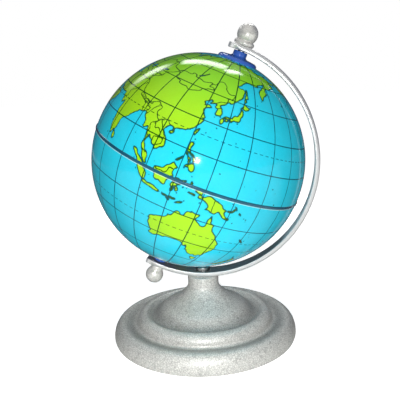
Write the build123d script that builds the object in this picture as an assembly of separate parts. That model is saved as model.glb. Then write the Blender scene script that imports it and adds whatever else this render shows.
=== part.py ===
from build123d import *
import math
import os

# Desktop globe on a stand, in millimetres, +Z up.
# The origin is the centre of the base's underside. The meridian arm lies in the XZ plane and bows
# towards +X, the north pole leans towards +X, and -Y is the front.

# Globe ball: two drawn tinplate halves
GLOBE_R = 53.0          # outside radius of the ball
SHELL_WALL = 0.3        # tinplate thickness
TILT = 23.5             # lean of the axle from upright, degrees

# Ring that joins the two halves: a bead outside, a web between the rims, a band inside
SEAM_WEB = 0.4          # gap between the two rims, filled by the web
BEAD_WIDTH = 1.2        # width of the visible bead
BEAD_RISE = 0.4         # how far the bead stands out of the ball
BAND_WIDTH = 6.0        # width of the inner band
BAND_WALL = 0.5         # thickness of the inner band

# Pole collars: a flange on the ball, a neck towards the arm, a slotted spigot inside the ball
FLANGE_R = 9.75         # radius of the flange
FLANGE_THICKNESS = 1.4  # thickness of the flange, square to the ball
COLLAR_NECK_R = 3.4     # radius of the neck
COLLAR_NECK_CHAMFER = 0.3
COLLAR_ROOT_R = 0.6     # fillet between neck and flange
SPIGOT_R = 4.0          # radius of the spigot in the pole hole
SPIGOT_LENGTH = 5.0     # depth of the spigot below the ball's surface
SPIGOT_FIT = 0.1        # radial play of the spigot in the pole hole
BARB_RISE = 0.5         # how far the barb stands out of the spigot
BARB_LENGTH = 1.6       # length of the barb's slope
SLOT_WIDTH = 0.9        # slots that let the barbs spring inwards
SLOT_COUNT = 4
COLLAR_END_PLAY = 0.3   # gap between the neck and the arm, at each pole

# Axle rod: a plain rod with a thinner threaded end through each end of the arm
AXLE_R = 1.75           # radius of the plain length
AXLE_THREAD_R = 1.5     # M3 ends
AXLE_THREAD_GRIP = 4.5  # length of thread inside each finial
RUNNING_FIT = 0.05      # radial play of the collars on the axle
THREAD_HOLE_FIT = 0.1   # radial play of a screw in a plain hole

# Meridian arm: a flat bar bent to a little more than a half circle
ARM_GAP = 4.5           # space between the ball and the arm
ARM_THICKNESS = 2.5
ARM_WIDTH = 10.0
ARM_OVERHANG = 6.5      # length of bar past the axle, at each end
ARM_END_R = 1.6         # rounding of the corners of each end
ARM_EDGE_R = 0.5        # rounding of the bar's long edges

# Finials: ball nuts that hold the axle in the arm
TOP_BALL_R = 5.05
TOP_BALL_STANDOFF = 5.6     # ball centre above the arm
TOP_RING_R = 5.0
TOP_RING_HEIGHT = 2.5
TOP_WAIST_R = 4.0           # narrow place between ring and ball
BOTTOM_BALL_R = 4.65
BOTTOM_BALL_STANDOFF = 5.9
BOTTOM_NECK_R = 3.3

# Screw and washer that hold the arm on the base
SCREW_R = 2.0           # M4
SCREW_HEAD_R = 4.0
SCREW_HEAD_HEIGHT = 2.3
SCREW_CROWN_DROP = 1.0  # how much lower the head is at its rim
SCREW_GRIP = 11.0       # length of thread in the base
SCREW_HOLE_SPARE = 1.5  # threaded hole deeper than the screw
CROSS_LENGTH = 4.4
CROSS_WIDTH = 0.9
CROSS_DEPTH = 1.4
WASHER_R = 3.8
WASHER_THICKNESS = 0.9
WASHER_SPLIT = 0.7      # gap of the spring washer
SEAT_MARGIN = 0.3       # spot face in the arm, wider than the screw head

# Base: one hollow casting with a rounded rim, a raised step, a skirt and a neck
BASE_R = 48.0           # widest radius
RIM_TUCK = 0.6          # how much smaller the rim is where it meets the table
RIM_WIDEST_Z = 2.5
RIM_ROUND = 5.0         # width of the rim's round
RIM_TOP_Z = 9.9
STEP_R = 35.4           # outer radius of the raised step
STEP_FOOT_R = 1.2       # hollow round at the foot of the step
STEP_FOOT_Z = 8.6
STEP_ROUND = 4.4        # width of the step's rounded shoulder
STEP_TOP_Z = 14.2
VALLEY_R = 27.4         # groove between step and skirt
VALLEY_Z = 12.5
SKIRT_R = 21.0
SKIRT_Z = 17.5
SHOULDER_R = 15.2
SHOULDER_Z = 20.7
FLARE_R = 10.9
FLARE_Z = 23.9
NECK_R = 8.0            # radius of the neck under the arm
NECK_LENGTH = 4.5       # plain length of the neck below the arm
NECK_TOP_Z = 33.0       # lowest point of the arm
BASE_WALL = 2.0         # thickness of the casting over its hollow

# Felt under the base, in a rebate
FELT_THICKNESS = 1.2
FELT_PROUD = 0.3        # felt below the rim
FELT_LEDGE = 2.0        # width of casting that the felt is glued to
FELT_FIT = 0.1          # radial play of the felt in its rebate

# Values that follow from the ones above
shell_inner_r = GLOBE_R - SHELL_WALL
arm_inner_r = GLOBE_R + ARM_GAP
arm_outer_r = arm_inner_r + ARM_THICKNESS
globe_z = NECK_TOP_Z + arm_outer_r
pole_hole_r = SPIGOT_R + SPIGOT_FIT
rim_top_r = BASE_R - RIM_ROUND
felt_r = rim_top_r + FELT_LEDGE
rim_bottom_z = FELT_PROUD

globe_place = Pos(0, 0, globe_z) * Rot(0, TILT, 0)


def at_radius(sphere_r, r):
    """Point of a half section, at radius r from the axis, on a sphere about the ball's centre."""
    return (r, math.sqrt(sphere_r ** 2 - r ** 2))


def sphere_arc(sphere_r, start, end):
    """Arc of a half section along a sphere about the ball's centre."""
    middle = (Vector(*start) + Vector(*end)).normalized() * sphere_r
    return ThreePointArc(start, middle, end)


def spin(edges):
    """Turn a closed half section about the Z axis."""
    return revolve(Plane.XZ * make_face(edges), Axis.Z)


def hemisphere():
    """Northern half of the ball, from the pole hole to the seam."""
    rim = SEAM_WEB / 2
    outer_pole = at_radius(GLOBE_R, pole_hole_r)
    inner_pole = at_radius(shell_inner_r, pole_hole_r)
    outer_rim = (math.sqrt(GLOBE_R ** 2 - rim ** 2), rim)
    inner_rim = (math.sqrt(shell_inner_r ** 2 - rim ** 2), rim)
    return spin([
        sphere_arc(GLOBE_R, outer_pole, outer_rim),
        Line(outer_rim, inner_rim),
        sphere_arc(shell_inner_r, inner_rim, inner_pole),
        Line(inner_pole, outer_pole),
    ])


def seam_ring():
    """T section: bead over both rims, web between them, band behind them."""
    rim = SEAM_WEB / 2
    bead = BEAD_WIDTH / 2
    band = BAND_WIDTH / 2
    band_inner_r = shell_inner_r - BAND_WALL

    def at_height(sphere_r, z):
        return (math.sqrt(sphere_r ** 2 - z ** 2), z)

    return spin([
        ThreePointArc(at_height(GLOBE_R, bead), (GLOBE_R + BEAD_RISE, 0), at_height(GLOBE_R, -bead)),
        sphere_arc(GLOBE_R, at_height(GLOBE_R, -bead), at_height(GLOBE_R, -rim)),
        Line(at_height(GLOBE_R, -rim), at_height(shell_inner_r, -rim)),
        sphere_arc(shell_inner_r, at_height(shell_inner_r, -rim), at_height(shell_inner_r, -band)),
        Line(at_height(shell_inner_r, -band), at_height(band_inner_r, -band)),
        sphere_arc(band_inner_r, at_height(band_inner_r, -band), at_height(band_inner_r, band)),
        Line(at_height(band_inner_r, band), at_height(shell_inner_r, band)),
        sphere_arc(shell_inner_r, at_height(shell_inner_r, band), at_height(shell_inner_r, rim)),
        Line(at_height(shell_inner_r, rim), at_height(GLOBE_R, rim)),
        sphere_arc(GLOBE_R, at_height(GLOBE_R, rim), at_height(GLOBE_R, bead)),
    ])


def collar():
    """Flanged bush for the north pole."""
    flange_outer_r = GLOBE_R + FLANGE_THICKNESS
    bore_r = AXLE_R + RUNNING_FIT
    neck_end = math.sqrt(arm_inner_r ** 2 - COLLAR_NECK_R ** 2) - COLLAR_END_PLAY
    neck_foot = at_radius(flange_outer_r, COLLAR_NECK_R + COLLAR_ROOT_R)
    flange_edge = at_radius(flange_outer_r, FLANGE_R - FLANGE_THICKNESS)
    flange_rim = at_radius(GLOBE_R, FLANGE_R)
    flange_heel = at_radius(GLOBE_R, SPIGOT_R)
    barb_top = at_radius(shell_inner_r, SPIGOT_R + BARB_RISE)[1]
    spigot_end = GLOBE_R - SPIGOT_LENGTH
    outline = [
        Line((bore_r, spigot_end), (bore_r, neck_end)),
        Line((bore_r, neck_end), (COLLAR_NECK_R - COLLAR_NECK_CHAMFER, neck_end)),
        Line((COLLAR_NECK_R - COLLAR_NECK_CHAMFER, neck_end),
             (COLLAR_NECK_R, neck_end - COLLAR_NECK_CHAMFER)),
        Line((COLLAR_NECK_R, neck_end - COLLAR_NECK_CHAMFER),
             (COLLAR_NECK_R, neck_foot[1] + COLLAR_ROOT_R)),
        TangentArc((COLLAR_NECK_R, neck_foot[1] + COLLAR_ROOT_R), neck_foot, tangent=(0, -1)),
        sphere_arc(flange_outer_r, neck_foot, flange_edge),
        TangentArc(flange_edge, flange_rim, tangent=(flange_edge[1], -flange_edge[0])),
        sphere_arc(GLOBE_R, flange_rim, flange_heel),
        Line(flange_heel, (SPIGOT_R, barb_top)),
        Line((SPIGOT_R, barb_top), (SPIGOT_R + BARB_RISE, barb_top)),
        Line((SPIGOT_R + BARB_RISE, barb_top), (SPIGOT_R, barb_top - BARB_LENGTH)),
        Line((SPIGOT_R, barb_top - BARB_LENGTH), (SPIGOT_R, spigot_end)),
        Line((SPIGOT_R, spigot_end), (bore_r, spigot_end)),
    ]
    bush = spin(outline)
    slot_top = barb_top + SHELL_WALL
    slot_height = slot_top - spigot_end
    slot = Pos(SPIGOT_R, 0, slot_top - slot_height / 2) * Box(2 * SPIGOT_R, SLOT_WIDTH, slot_height)
    for copy in range(SLOT_COUNT):
        bush -= Rot(0, 0, 360 * copy / SLOT_COUNT) * slot
    return bush


def axle_rod():
    """Rod through the ball, with a shoulder against the inside of the arm at each end."""
    shoulder = math.sqrt(arm_inner_r ** 2 - AXLE_R ** 2)
    tip = arm_outer_r + AXLE_THREAD_GRIP
    rod = Cylinder(AXLE_R, 2 * shoulder)
    return rod + Cylinder(AXLE_THREAD_R, 2 * tip)


def meridian_arm():
    """Bent bar round the +X side of the ball, with a hole at each pole."""
    middle_r = (arm_inner_r + arm_outer_r) / 2
    reach = 90 + math.degrees(ARM_OVERHANG / middle_r)
    inner = CenterArc((0, 0), arm_inner_r, -reach, 2 * reach)
    outer = CenterArc((0, 0), arm_outer_r, -reach, 2 * reach)
    ends = [Line(inner @ 0, outer @ 0), Line(inner @ 1, outer @ 1)]
    bar = extrude(Plane.XZ * make_face([inner, outer] + ends), ARM_WIDTH / 2, both=True)
    corners = bar.edges().filter_by(GeomType.LINE).filter_by(Axis.Y, reverse=True)
    bar = fillet(corners, ARM_END_R)
    bar = fillet(bar.edges(), ARM_EDGE_R)
    return bar - Cylinder(AXLE_THREAD_R + THREAD_HOLE_FIT, 2 * arm_outer_r + ARM_THICKNESS)


def arm_on_stand():
    """The arm in its place, with the screw's hole and spot face above the neck."""
    seat_z = NECK_TOP_Z + ARM_THICKNESS
    hole = Pos(0, 0, NECK_TOP_Z) * Cylinder(SCREW_R + THREAD_HOLE_FIT, 4 * ARM_THICKNESS)
    spot_face = Pos(0, 0, seat_z) * Cylinder(
        SCREW_HEAD_R + SEAT_MARGIN, ARM_THICKNESS, align=(Align.CENTER, Align.CENTER, Align.MIN))
    return globe_place * meridian_arm() - hole - spot_face


def top_finial():
    """Ball nut with a ring at its foot."""
    ball_z = arm_outer_r + TOP_BALL_STANDOFF
    ring_top = arm_outer_r + TOP_RING_HEIGHT
    ring_round = TOP_RING_HEIGHT / 2
    waist = (TOP_WAIST_R, ring_top)
    ball_start = (TOP_WAIST_R, ball_z - math.sqrt(TOP_BALL_R ** 2 - TOP_WAIST_R ** 2))
    knob = spin([
        Line((0, arm_outer_r), (TOP_RING_R - ring_round / 2, arm_outer_r)),
        ThreePointArc((TOP_RING_R - ring_round / 2, arm_outer_r),
                      (TOP_RING_R, arm_outer_r + ring_round),
                      (TOP_RING_R - ring_round / 2, ring_top)),
        Line((TOP_RING_R - ring_round / 2, ring_top), waist),
        Line(waist, ball_start),
        ThreePointArc(ball_start, (TOP_BALL_R, ball_z), (0, ball_z + TOP_BALL_R)),
        Line((0, ball_z + TOP_BALL_R), (0, arm_outer_r)),
    ])
    return knob - axle_rod()


def bottom_finial():
    """Smaller ball nut on a plain neck, made upright and turned to the south pole."""
    ball_z = arm_outer_r + BOTTOM_BALL_STANDOFF
    ball_start = (BOTTOM_NECK_R, ball_z - math.sqrt(BOTTOM_BALL_R ** 2 - BOTTOM_NECK_R ** 2))
    knob = spin([
        Line((0, arm_outer_r), (BOTTOM_NECK_R, arm_outer_r)),
        Line((BOTTOM_NECK_R, arm_outer_r), ball_start),
        ThreePointArc(ball_start, (BOTTOM_BALL_R, ball_z), (0, ball_z + BOTTOM_BALL_R)),
        Line((0, ball_z + BOTTOM_BALL_R), (0, arm_outer_r)),
    ])
    return Rot(180, 0, 0) * (knob - axle_rod())


def arm_screw():
    """Pan head cross recessed screw, head up, through the arm into the neck."""
    head_z = NECK_TOP_Z + ARM_THICKNESS + WASHER_THICKNESS
    head_top = head_z + SCREW_HEAD_HEIGHT
    rim_top = head_top - SCREW_CROWN_DROP
    tip_z = NECK_TOP_Z - SCREW_GRIP
    body = spin([
        Line((0, tip_z), (SCREW_R, tip_z)),
        Line((SCREW_R, tip_z), (SCREW_R, head_z)),
        Line((SCREW_R, head_z), (SCREW_HEAD_R, head_z)),
        Line((SCREW_HEAD_R, head_z), (SCREW_HEAD_R, rim_top)),
        TangentArc((0, head_top), (SCREW_HEAD_R, rim_top), tangent=(1, 0)),
        Line((0, head_top), (0, tip_z)),
    ])
    recess = Pos(0, 0, head_top - CROSS_DEPTH / 2)
    slot = Box(CROSS_LENGTH, CROSS_WIDTH, CROSS_DEPTH)
    return body - recess * slot - recess * Rot(0, 0, 90) * slot


def lock_washer():
    """Split spring washer under the screw head, drawn flat as it is when tight."""
    ring = Cylinder(WASHER_R, WASHER_THICKNESS) - Cylinder(SCREW_R + THREAD_HOLE_FIT, WASHER_THICKNESS)
    split = Pos(0, -WASHER_R, 0) * Box(WASHER_SPLIT, 2 * WASHER_R, WASHER_THICKNESS)
    return Pos(0, 0, NECK_TOP_Z + ARM_THICKNESS + WASHER_THICKNESS / 2) * (ring - split)


def casting_roof(wall):
    """Section from the rim's top over the raised step to the valley, at a depth under the outside."""
    foot_centre = (STEP_R + STEP_FOOT_R, STEP_FOOT_Z + STEP_FOOT_R)
    rim_top = (rim_top_r, RIM_TOP_Z - wall)
    plate_end = (foot_centre[0], STEP_FOOT_Z - wall)
    step_side = (STEP_R - wall, foot_centre[1])
    step_top = (STEP_R - STEP_ROUND, STEP_TOP_Z - wall)
    valley = (VALLEY_R, VALLEY_Z - wall)
    return [
        Spline(rim_top, plate_end, tangents=[(-1, 0), (-1, 0)]),
        TangentArc(plate_end, step_side, tangent=(-1, 0)),
        EllipticalCenterArc((step_top[0], step_side[1]), STEP_ROUND - wall, step_top[1] - step_side[1],
                            start_angle=0, arc_size=90),
        Spline(step_top, valley, tangents=[(-1, 0), (-1, 0)]),
    ]


def base_outside():
    """The casting as a solid: rounded rim, step, skirt and neck."""
    top_z = NECK_TOP_Z + NECK_R ** 2 / arm_outer_r      # higher than the saddle that trims it
    rim_foot = (BASE_R - RIM_TUCK, rim_bottom_z)
    rim_side = (BASE_R, RIM_WIDEST_Z)
    neck_foot = (NECK_R, NECK_TOP_Z - NECK_LENGTH)
    return spin([
        Line((0, rim_bottom_z), rim_foot),
        TangentArc(rim_side, rim_foot, tangent=(0, -1)),
        EllipticalCenterArc((rim_top_r, RIM_WIDEST_Z), RIM_ROUND, RIM_TOP_Z - RIM_WIDEST_Z,
                            start_angle=0, arc_size=90),
        *casting_roof(0),
        Spline((VALLEY_R, VALLEY_Z), (SKIRT_R, SKIRT_Z), (SHOULDER_R, SHOULDER_Z), (FLARE_R, FLARE_Z),
               neck_foot, tangents=[(-1, 0), (0, 1)]),
        Line(neck_foot, (NECK_R, top_z)),
        Line((NECK_R, top_z), (0, top_z)),
        Line((0, top_z), (0, rim_bottom_z)),
    ])


def base_cavity():
    """Hollow under the plate, the step and the skirt. The rim and the neck stay solid."""
    roof_z = SKIRT_Z - BASE_WALL
    roof_r = SKIRT_R - BASE_WALL
    valley = (VALLEY_R, VALLEY_Z - BASE_WALL)
    return spin([
        Line((0, 0), (rim_top_r, 0)),
        Line((rim_top_r, 0), (rim_top_r, RIM_TOP_Z - BASE_WALL)),
        *casting_roof(BASE_WALL),
        Spline(valley, (roof_r, roof_z), tangents=[(-1, 0), (-1, 0)]),
        Line((roof_r, roof_z), (0, roof_z)),
        Line((0, roof_z), (0, 0)),
    ])


def base_shell():
    """Hollow casting: saddle for the arm on top, threaded hole in the neck, rebate for the felt."""
    saddle = Pos(0, 0, globe_z) * Rot(90, 0, 0) * Cylinder(arm_outer_r, 4 * NECK_R)
    hole_depth = SCREW_GRIP + SCREW_HOLE_SPARE
    hole = Pos(0, 0, NECK_TOP_Z - hole_depth) * Cylinder(
        SCREW_R, 2 * hole_depth, align=(Align.CENTER, Align.CENTER, Align.MIN))
    rebate = Cylinder(felt_r + FELT_FIT, FELT_THICKNESS, align=(Align.CENTER, Align.CENTER, Align.MIN))
    return base_outside() - base_cavity() - saddle - hole - rebate


def base_felt():
    """Felt disc that stands a little proud of the rim."""
    return Cylinder(felt_r, FELT_THICKNESS, align=(Align.CENTER, Align.CENTER, Align.MIN))


def pieces():
    """Every piece in its place, by name."""
    half = hemisphere()
    bush = collar()
    south = Rot(180, 0, 0)
    return {
        "base_shell": base_shell(),
        "base_felt": base_felt(),
        "meridian_arm": arm_on_stand(),
        "arm_screw": arm_screw(),
        "lock_washer": lock_washer(),
        "axle_rod": globe_place * axle_rod(),
        "top_finial": globe_place * top_finial(),
        "bottom_finial": globe_place * bottom_finial(),
        "north_hemisphere": globe_place * half,
        "south_hemisphere": globe_place * south * half,
        "seam_ring": globe_place * seam_ring(),
        "north_collar": globe_place * bush,
        "south_collar": globe_place * south * bush,
    }


os.makedirs("parts", exist_ok=True)
for name, piece in pieces().items():
    export_step(piece, f"parts/{name}.step")
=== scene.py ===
"""Desktop globe on a cast stand: a printed tin ball on a tilted axle, a bent arm and a round base."""

import math

import bmesh
import bpy
import numpy as np
from mathutils import Matrix, Vector, noise
from mathutils.kdtree import KDTree


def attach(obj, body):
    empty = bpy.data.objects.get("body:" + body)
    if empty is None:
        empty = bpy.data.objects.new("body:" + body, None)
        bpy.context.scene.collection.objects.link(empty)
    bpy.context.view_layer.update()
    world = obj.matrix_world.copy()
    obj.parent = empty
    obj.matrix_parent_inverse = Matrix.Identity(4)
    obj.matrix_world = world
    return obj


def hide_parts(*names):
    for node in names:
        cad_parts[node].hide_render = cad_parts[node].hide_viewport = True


bl_info = {
    "name": "Desktop globe on stand",
    "version": (1, 0, 0),
    "blender": (4, 5, 0),
    "location": "3D View > Sidebar > Globe",
    "description": "Models a small printed tin globe with its arm, finials and cast base",
    "category": "Add Mesh",
}

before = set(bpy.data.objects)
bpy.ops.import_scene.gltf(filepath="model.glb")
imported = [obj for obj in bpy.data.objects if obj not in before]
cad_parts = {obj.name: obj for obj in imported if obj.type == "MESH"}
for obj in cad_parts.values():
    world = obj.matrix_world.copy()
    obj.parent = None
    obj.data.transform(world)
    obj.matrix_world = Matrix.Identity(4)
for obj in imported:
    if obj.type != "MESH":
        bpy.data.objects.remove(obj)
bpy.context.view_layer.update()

MM = 0.001
CENTRE = Vector((0, 0, 0.093))      # of the ball, on the axle
TILT = math.radians(23.5)           # of the axle from upright, towards +X
EARTH_TILT = 23.44                  # latitude of the tropics

# Coasts as rings of longitude,latitude in degrees. A ring inside another is a lake.
COASTS = {
    "old_world": """
        190.3,66.1 187,67.1 184,67.2 180.5,68.9 176,70.4 171,71.5 170,70.7 167,71.8 163,72.1 161,72.1
        160,74.2 159,75.2 152,75.5 150,76 146,76.5 141,76.9 139.5,76.4 139.6,75.7 137,75.7 133,76
        131.5,75.4 129.3,75.6 129.3,76.4 127,76.9 123.5,76.9 122,76.5 118.8,76.6 113.5,76.8 110,77
        113.5,78.1 112.5,79.1 107,79.3 104.3,79.7 100,77.5 94,76.1 87,75 86.5,74 81,73.6 80.7,72.2 82.8,70.8
        81.5,71.7 78.5,72.3 75.3,72.8 74.5,71 73.9,68.5 74.3,67 72.5,66.4 71.7,67.2 72.8,69 72.7,71.2
        71.8,72.9 69.5,72.9 66.8,71 67,69.6 68.5,68.3 65,69 60.5,69.9 58,68.9 53.9,68.9 52,68.3 46.5,67.9
        46,68.3 43.5,68.6 44.2,66.4 42,66.4 40,65 37.5,64 34.8,64.5 34.5,65.5 32.5,67.1 37,66.5 40.5,66.4
        41,67.6 36,69.1 31,69.7 28,71 25.5,71 21,70 17.5,68.8 14.5,67.3 12.5,65.5 10.5,64 7,62.7 5,61.8
        5,60.3 5.6,58.8 7.2,58 8.8,58.3 10.5,59.3 11.3,59 11.9,57.6 12.8,56.3 12.9,55.5 14.2,55.4 16.2,56.6
        16.8,58.5 18.8,59.8 17.3,60.8 17.4,62.3 20.8,63.8 22.2,65.7 24.8,65.7 25.3,65 22.3,63.4 21.3,62
        21.5,60.8 23.5,59.9 28,60.5 30,59.9 27.8,59.5 24,59.4 23.4,58.8 24.4,58 24.1,57.1 22,57.7 21,56.8
        21,55.3 19.8,54.4 18.6,54.7 16.3,54.4 14.2,53.9 12.3,54.4 10.9,54 9.9,54.8 10.6,56.4 10.5,57.6
        8.3,57 8.2,55.6 8.7,54 7,53.5 4.8,52.9 3.5,51.5 1.7,50.9 0.2,49.5 -1.3,49.6 -1.6,48.7 -4.7,48.4
        -4.3,47.8 -2.2,47.2 -1.2,46 -1.3,44.3 -1.9,43.4 -5,43.5 -8,43.7 -9.2,43 -8.8,41.5 -9.5,38.8
        -8.8,37.1 -6.8,37.1 -5.6,36 -2.2,36.8 -0.5,37.7 0.1,38.8 -0.3,39.6 1,41 3.2,42 3.1,43.2 5,43.4
        7.5,43.8 8.9,44.4 10.3,43.8 11,42.4 12.8,41.2 14,40.8 15.6,40 16,38.6 15.7,37.9 16.6,38.4 17.1,39.2
        16.7,40.4 18.4,39.9 18,40.8 16,41.6 15.5,42 14,42.7 13.5,43.7 12.4,44.5 12.4,45.3 13.7,45.7 14.2,45
        15.2,44.2 17.5,43 19.3,41.9 19.4,40.4 20.9,38.8 21.3,37.4 22,36.7 23.1,36.6 23.9,37.8 23.1,39
        22.8,40.4 24,40.1 24.2,40.8 26,40.8 27.5,40.9 29,41 29,40.6 27,40.3 26.2,39.8 26.8,38.7 27.3,37
        28.3,36.6 30.5,36.6 32.2,36.1 34,36.3 36,36.8 35.8,35.3 35,33 34.3,31.4 32.4,31.2 31,31.6 29,30.8
        25,31.6 23,32.6 20.1,32.6 19.9,31 18.5,30.4 15.5,31.6 15.2,32.4 11.5,33.2 10.1,34.2 10.9,35.6 11,37
        9.8,37.3 5,36.8 0,35.9 -2.2,35.1 -5.4,35.9 -6.8,34.1 -9.3,32.5 -9.8,30.5 -11.5,28.3 -13.2,27.6
        -15,25.7 -16.2,23.6 -17.1,20.9 -16.1,19 -16.5,16 -17.5,14.7 -16.7,13 -16.5,12.1 -15,10.9 -13.3,9.1
        -12.5,7.4 -9,5 -7.5,4.4 -4,5.2 -2,4.8 1,6 4.3,6.3 6,4.3 8.5,4.6 9.7,3.9 9.3,1 8.8,-0.8 11,-3.7
        12.2,-6 13.3,-8.8 13.8,-11 12.4,-13.8 11.8,-16.8 13.5,-20.8 14.5,-22.8 15,-26.5 16.8,-29.2
        18.3,-32.8 18.4,-34.2 20,-34.8 22.5,-34.1 25.7,-34 28.3,-32.7 31,-29.5 32.8,-27 33,-25.2 35.4,-23.8
        35.3,-21.5 34.8,-20 37,-17.8 40.3,-15.5 40.6,-12.5 40.3,-10.3 39.4,-8 38.9,-6 40.1,-3.2 43,-0.4
        46.5,2.8 49,6.5 51.2,11.8 48.5,11.3 44.5,10.4 43.1,11.6 42.8,12.9 41,14.8 39,15.8 37.4,18.5 37,21
        35.6,23.8 34,26.5 32.6,29.9 33.3,28.4 34.3,27.8 35,29.4 35.2,28 37.3,25.3 39,22 40,20 41.5,17.5
        42.7,16 43.3,13.6 43.5,12.7 45,12.8 49,14 52.2,15.6 54.5,17 57.8,19 58.8,20.5 59.8,22.5 58.5,23.7
        56.8,24.3 56.4,26.3 55.3,25.4 54,24.1 51.7,24.1 51.4,26.1 50.8,24.8 50.1,26.5 48.5,28.3 48,30
        49.5,30.1 51,28.9 52.5,27.5 54.7,26.6 57,27.1 57.6,25.7 61.5,25.1 66.5,25.3 67.5,23.9 69,22.5
        70.3,22.9 69,22.1 70.5,20.5 72.4,21.5 72.4,18.4 72.6,16 73.4,12.9 73.9,9.6 74.5,6.9 75.5,5.1
        76.4,6.1 77.5,7.7 78.2,7.9 78.8,11.5 79.3,14.2 81.8,15.9 84.9,19.2 87,20.9 87.3,21.6 89,21.8
        90.5,22.3 91.8,22.4 92.5,20.6 94,18.9 94.4,17.3 94.3,16 95.4,15.7 96.6,16.6 97.4,16.7 97.7,15.5
        98.6,12.6 98.5,10.5 98.3,8.3 99.4,6.7 100.3,5.9 100.5,4.4 101.3,2.9 102.5,2 103.5,1.3 104.3,1.4
        103.5,2.8 103.4,4.6 102.4,6.1 101,6.9 100.3,8.5 99.3,9.4 99.2,10.7 99.9,12.4 100,13.5 100.9,13.4
        100.9,12.6 102.3,12.1 103,11 103.7,10.5 104.9,10.1 104.8,8.7 106.5,9.6 107.3,10.5 109,11.5
        109.4,12.9 108.8,15.2 107.5,16.5 106.4,17.8 105.7,18.9 106.4,20.3 107.8,21.5 109.5,21.5 109.8,20.3
        110.5,20.4 110.6,21.3 113.5,22.2 116,22.8 117.8,24 119.4,25.4 120.4,27.2 121.7,28.8 122,30 121,30.5
        121.9,31.2 121.7,32 120.7,32.9 119.3,34.8 119.4,35.3 120.4,36.1 122.6,36.9 122.4,37.4 120.8,37.8
        119,37.3 118.8,38.1 117.7,38.6 118.1,39.2 119.6,39.9 121,40.9 122.2,40.6 121.2,39.4 121.3,38.8
        123,39.7 124.6,39.9 125.3,39.2 124.9,38.1 126.5,37.6 126.5,36.6 126.3,34.6 127.8,34.6 129.2,35.2
        129.5,36.8 128.5,38.4 127.3,39.3 127.8,40 129.7,41 130.6,42.3 132,43.2 133.2,42.8 135.7,44.3
        138.5,46.9 140.4,48.5 140.5,50.5 141.4,52.2 141.3,53.2 139.5,54.2 137.5,53.8 135.3,54.7 138,56.3
        142.3,59.2 148.5,59.4 152,59 155,59.3 155,60.2 159,61.8 160.5,61.7 163.3,62.5 164.4,62.6 163.2,61.6
        161.8,60.4 159.8,59.7 158.5,58.5 156.8,57.6 155.7,56 155.6,54 156.6,51.1 158.4,52.6 158.7,53.2
        160,54.4 162,54.9 161.8,55.8 163.3,56.1 162.9,57.6 163.3,58.3 165,59.9 170,60 171,60.5 174,61.7
        179.3,62.4 178.8,63.7 177.3,64.6 178.7,65.5 180.3,66.2 181.3,65.3 184.5,65.4 187,64.3 188,65.4
        """,
    "black_sea": """
        29.1,41.2 28,42 27.9,43.4 28.8,44.8 30.8,46.4 33.2,46.1 32.6,45.4 33.8,44.5 35.3,45 35,46.2
        37.4,46.9 39.2,47.1 38,46.3 37,45.2 39,44 41.5,42.2 41,41.1 38,41 35,42 32,41.6
        """,
    "caspian_sea": """
        47,44.8 49,46.4 51.2,47 53,46.8 53,45.2 51.3,45 50.3,44.4 51.8,43 52.8,41.5 53.8,39 53.9,37 51,36.7
        49.5,37.5 48.9,38.5 49.4,40.3 48.2,42 47,43.5
        """,
    "aral_sea": "58.3,45.6 60.2,46.6 61.6,46.2 60.5,44.3 58.6,43.8",
    "lake_balkhash": "73.6,45.4 74.4,46.7 78.8,46.8 79,46.3 75,46",
    "lake_baikal": "103.8,51.7 105.9,52.7 108,54 109.6,55.6 109.3,54.6 107.2,53 105.5,51.6",
    "lake_victoria": "31.8,-0.5 33,0.4 34.2,-0.2 33.8,-2.3 32,-2.4",
    "britain": """
        -5.5,50.1 -3,50.7 1.4,51.2 1.7,52.7 0.3,53 -0.2,54.3 -1.8,55.8 -3.2,56.2 -2,57.5 -4,57.7 -3.1,58.6
        -5,58.5 -5.8,57.3 -5.5,55.8 -4.6,54.8 -3.2,54.9 -3,53.8 -4.5,53.3 -4.3,52.5 -5.2,51.8 -3,51.4
        -4.3,51.1
        """,
    "ireland": "-6.2,52.2 -6,53.5 -5.6,54.6 -7.3,55.3 -8.5,54.4 -10,54.2 -9.4,53.2 -10.2,52 -8.5,51.7",
    "iceland": "-22.5,64 -18.5,63.4 -14,64.5 -14.8,66 -18,66.1 -22.5,66.4 -24,65.5 -22,64.9",
    "greenland": """
        -44,60 -41,63.5 -37,65.8 -30,68.1 -22,70.3 -22,73 -19,76.5 -17,80 -25,82 -35,83.5 -55,82.3 -63,81.3
        -68,80 -72,78.5 -66,76 -58,75.3 -54.5,72 -51,69.5 -53.5,67 -51.5,64.5 -48.5,61.2
        """,
    "svalbard": "12,79 16,80 25,80.3 21,78.5 17,76.7 14,77.8",
    "novaya_zemlya": """
        52,71.5 55.5,70.6 57.5,70.7 55.5,72.5 57,74 62,75.8 68.5,76.8 66,77 60,76.2 55.5,75 53,73
        """,
    "northern_land": "95,79.2 99,80 104.5,79 102,78 97,78.4",
    "new_siberian_islands": "137.5,77.6 145,77.9 150.5,77.1 146,76.7 139,76.7",
    "wrangel_island": "178.7,71.1 181,71.6 182.5,71 179.7,70.8",
    "sicily": "12.5,38 15.5,38.2 15.1,36.7 12.7,37.5",
    "sardinia": "8.3,40.9 9.6,41 9.6,39.2 8.5,39",
    "corsica": "8.7,42.5 9.4,43 9.5,42 9.1,41.4",
    "crete": "23.6,35.5 26.3,35.3 24.8,34.8",
    "cyprus": "32.3,35 34.5,35.6 33.8,34.9 32.6,34.6",
    "madagascar": """
        49.3,-12 50.5,-15.8 49.5,-18 47,-25 44.5,-25.3 43.3,-22.5 44.3,-19.8 44.5,-16.3 47,-15.2
        """,
    "sri_lanka": "78,7.1 79.2,5.9 79.8,4.5 78.8,3.4 78,3.6 77.8,5.2",
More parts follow.
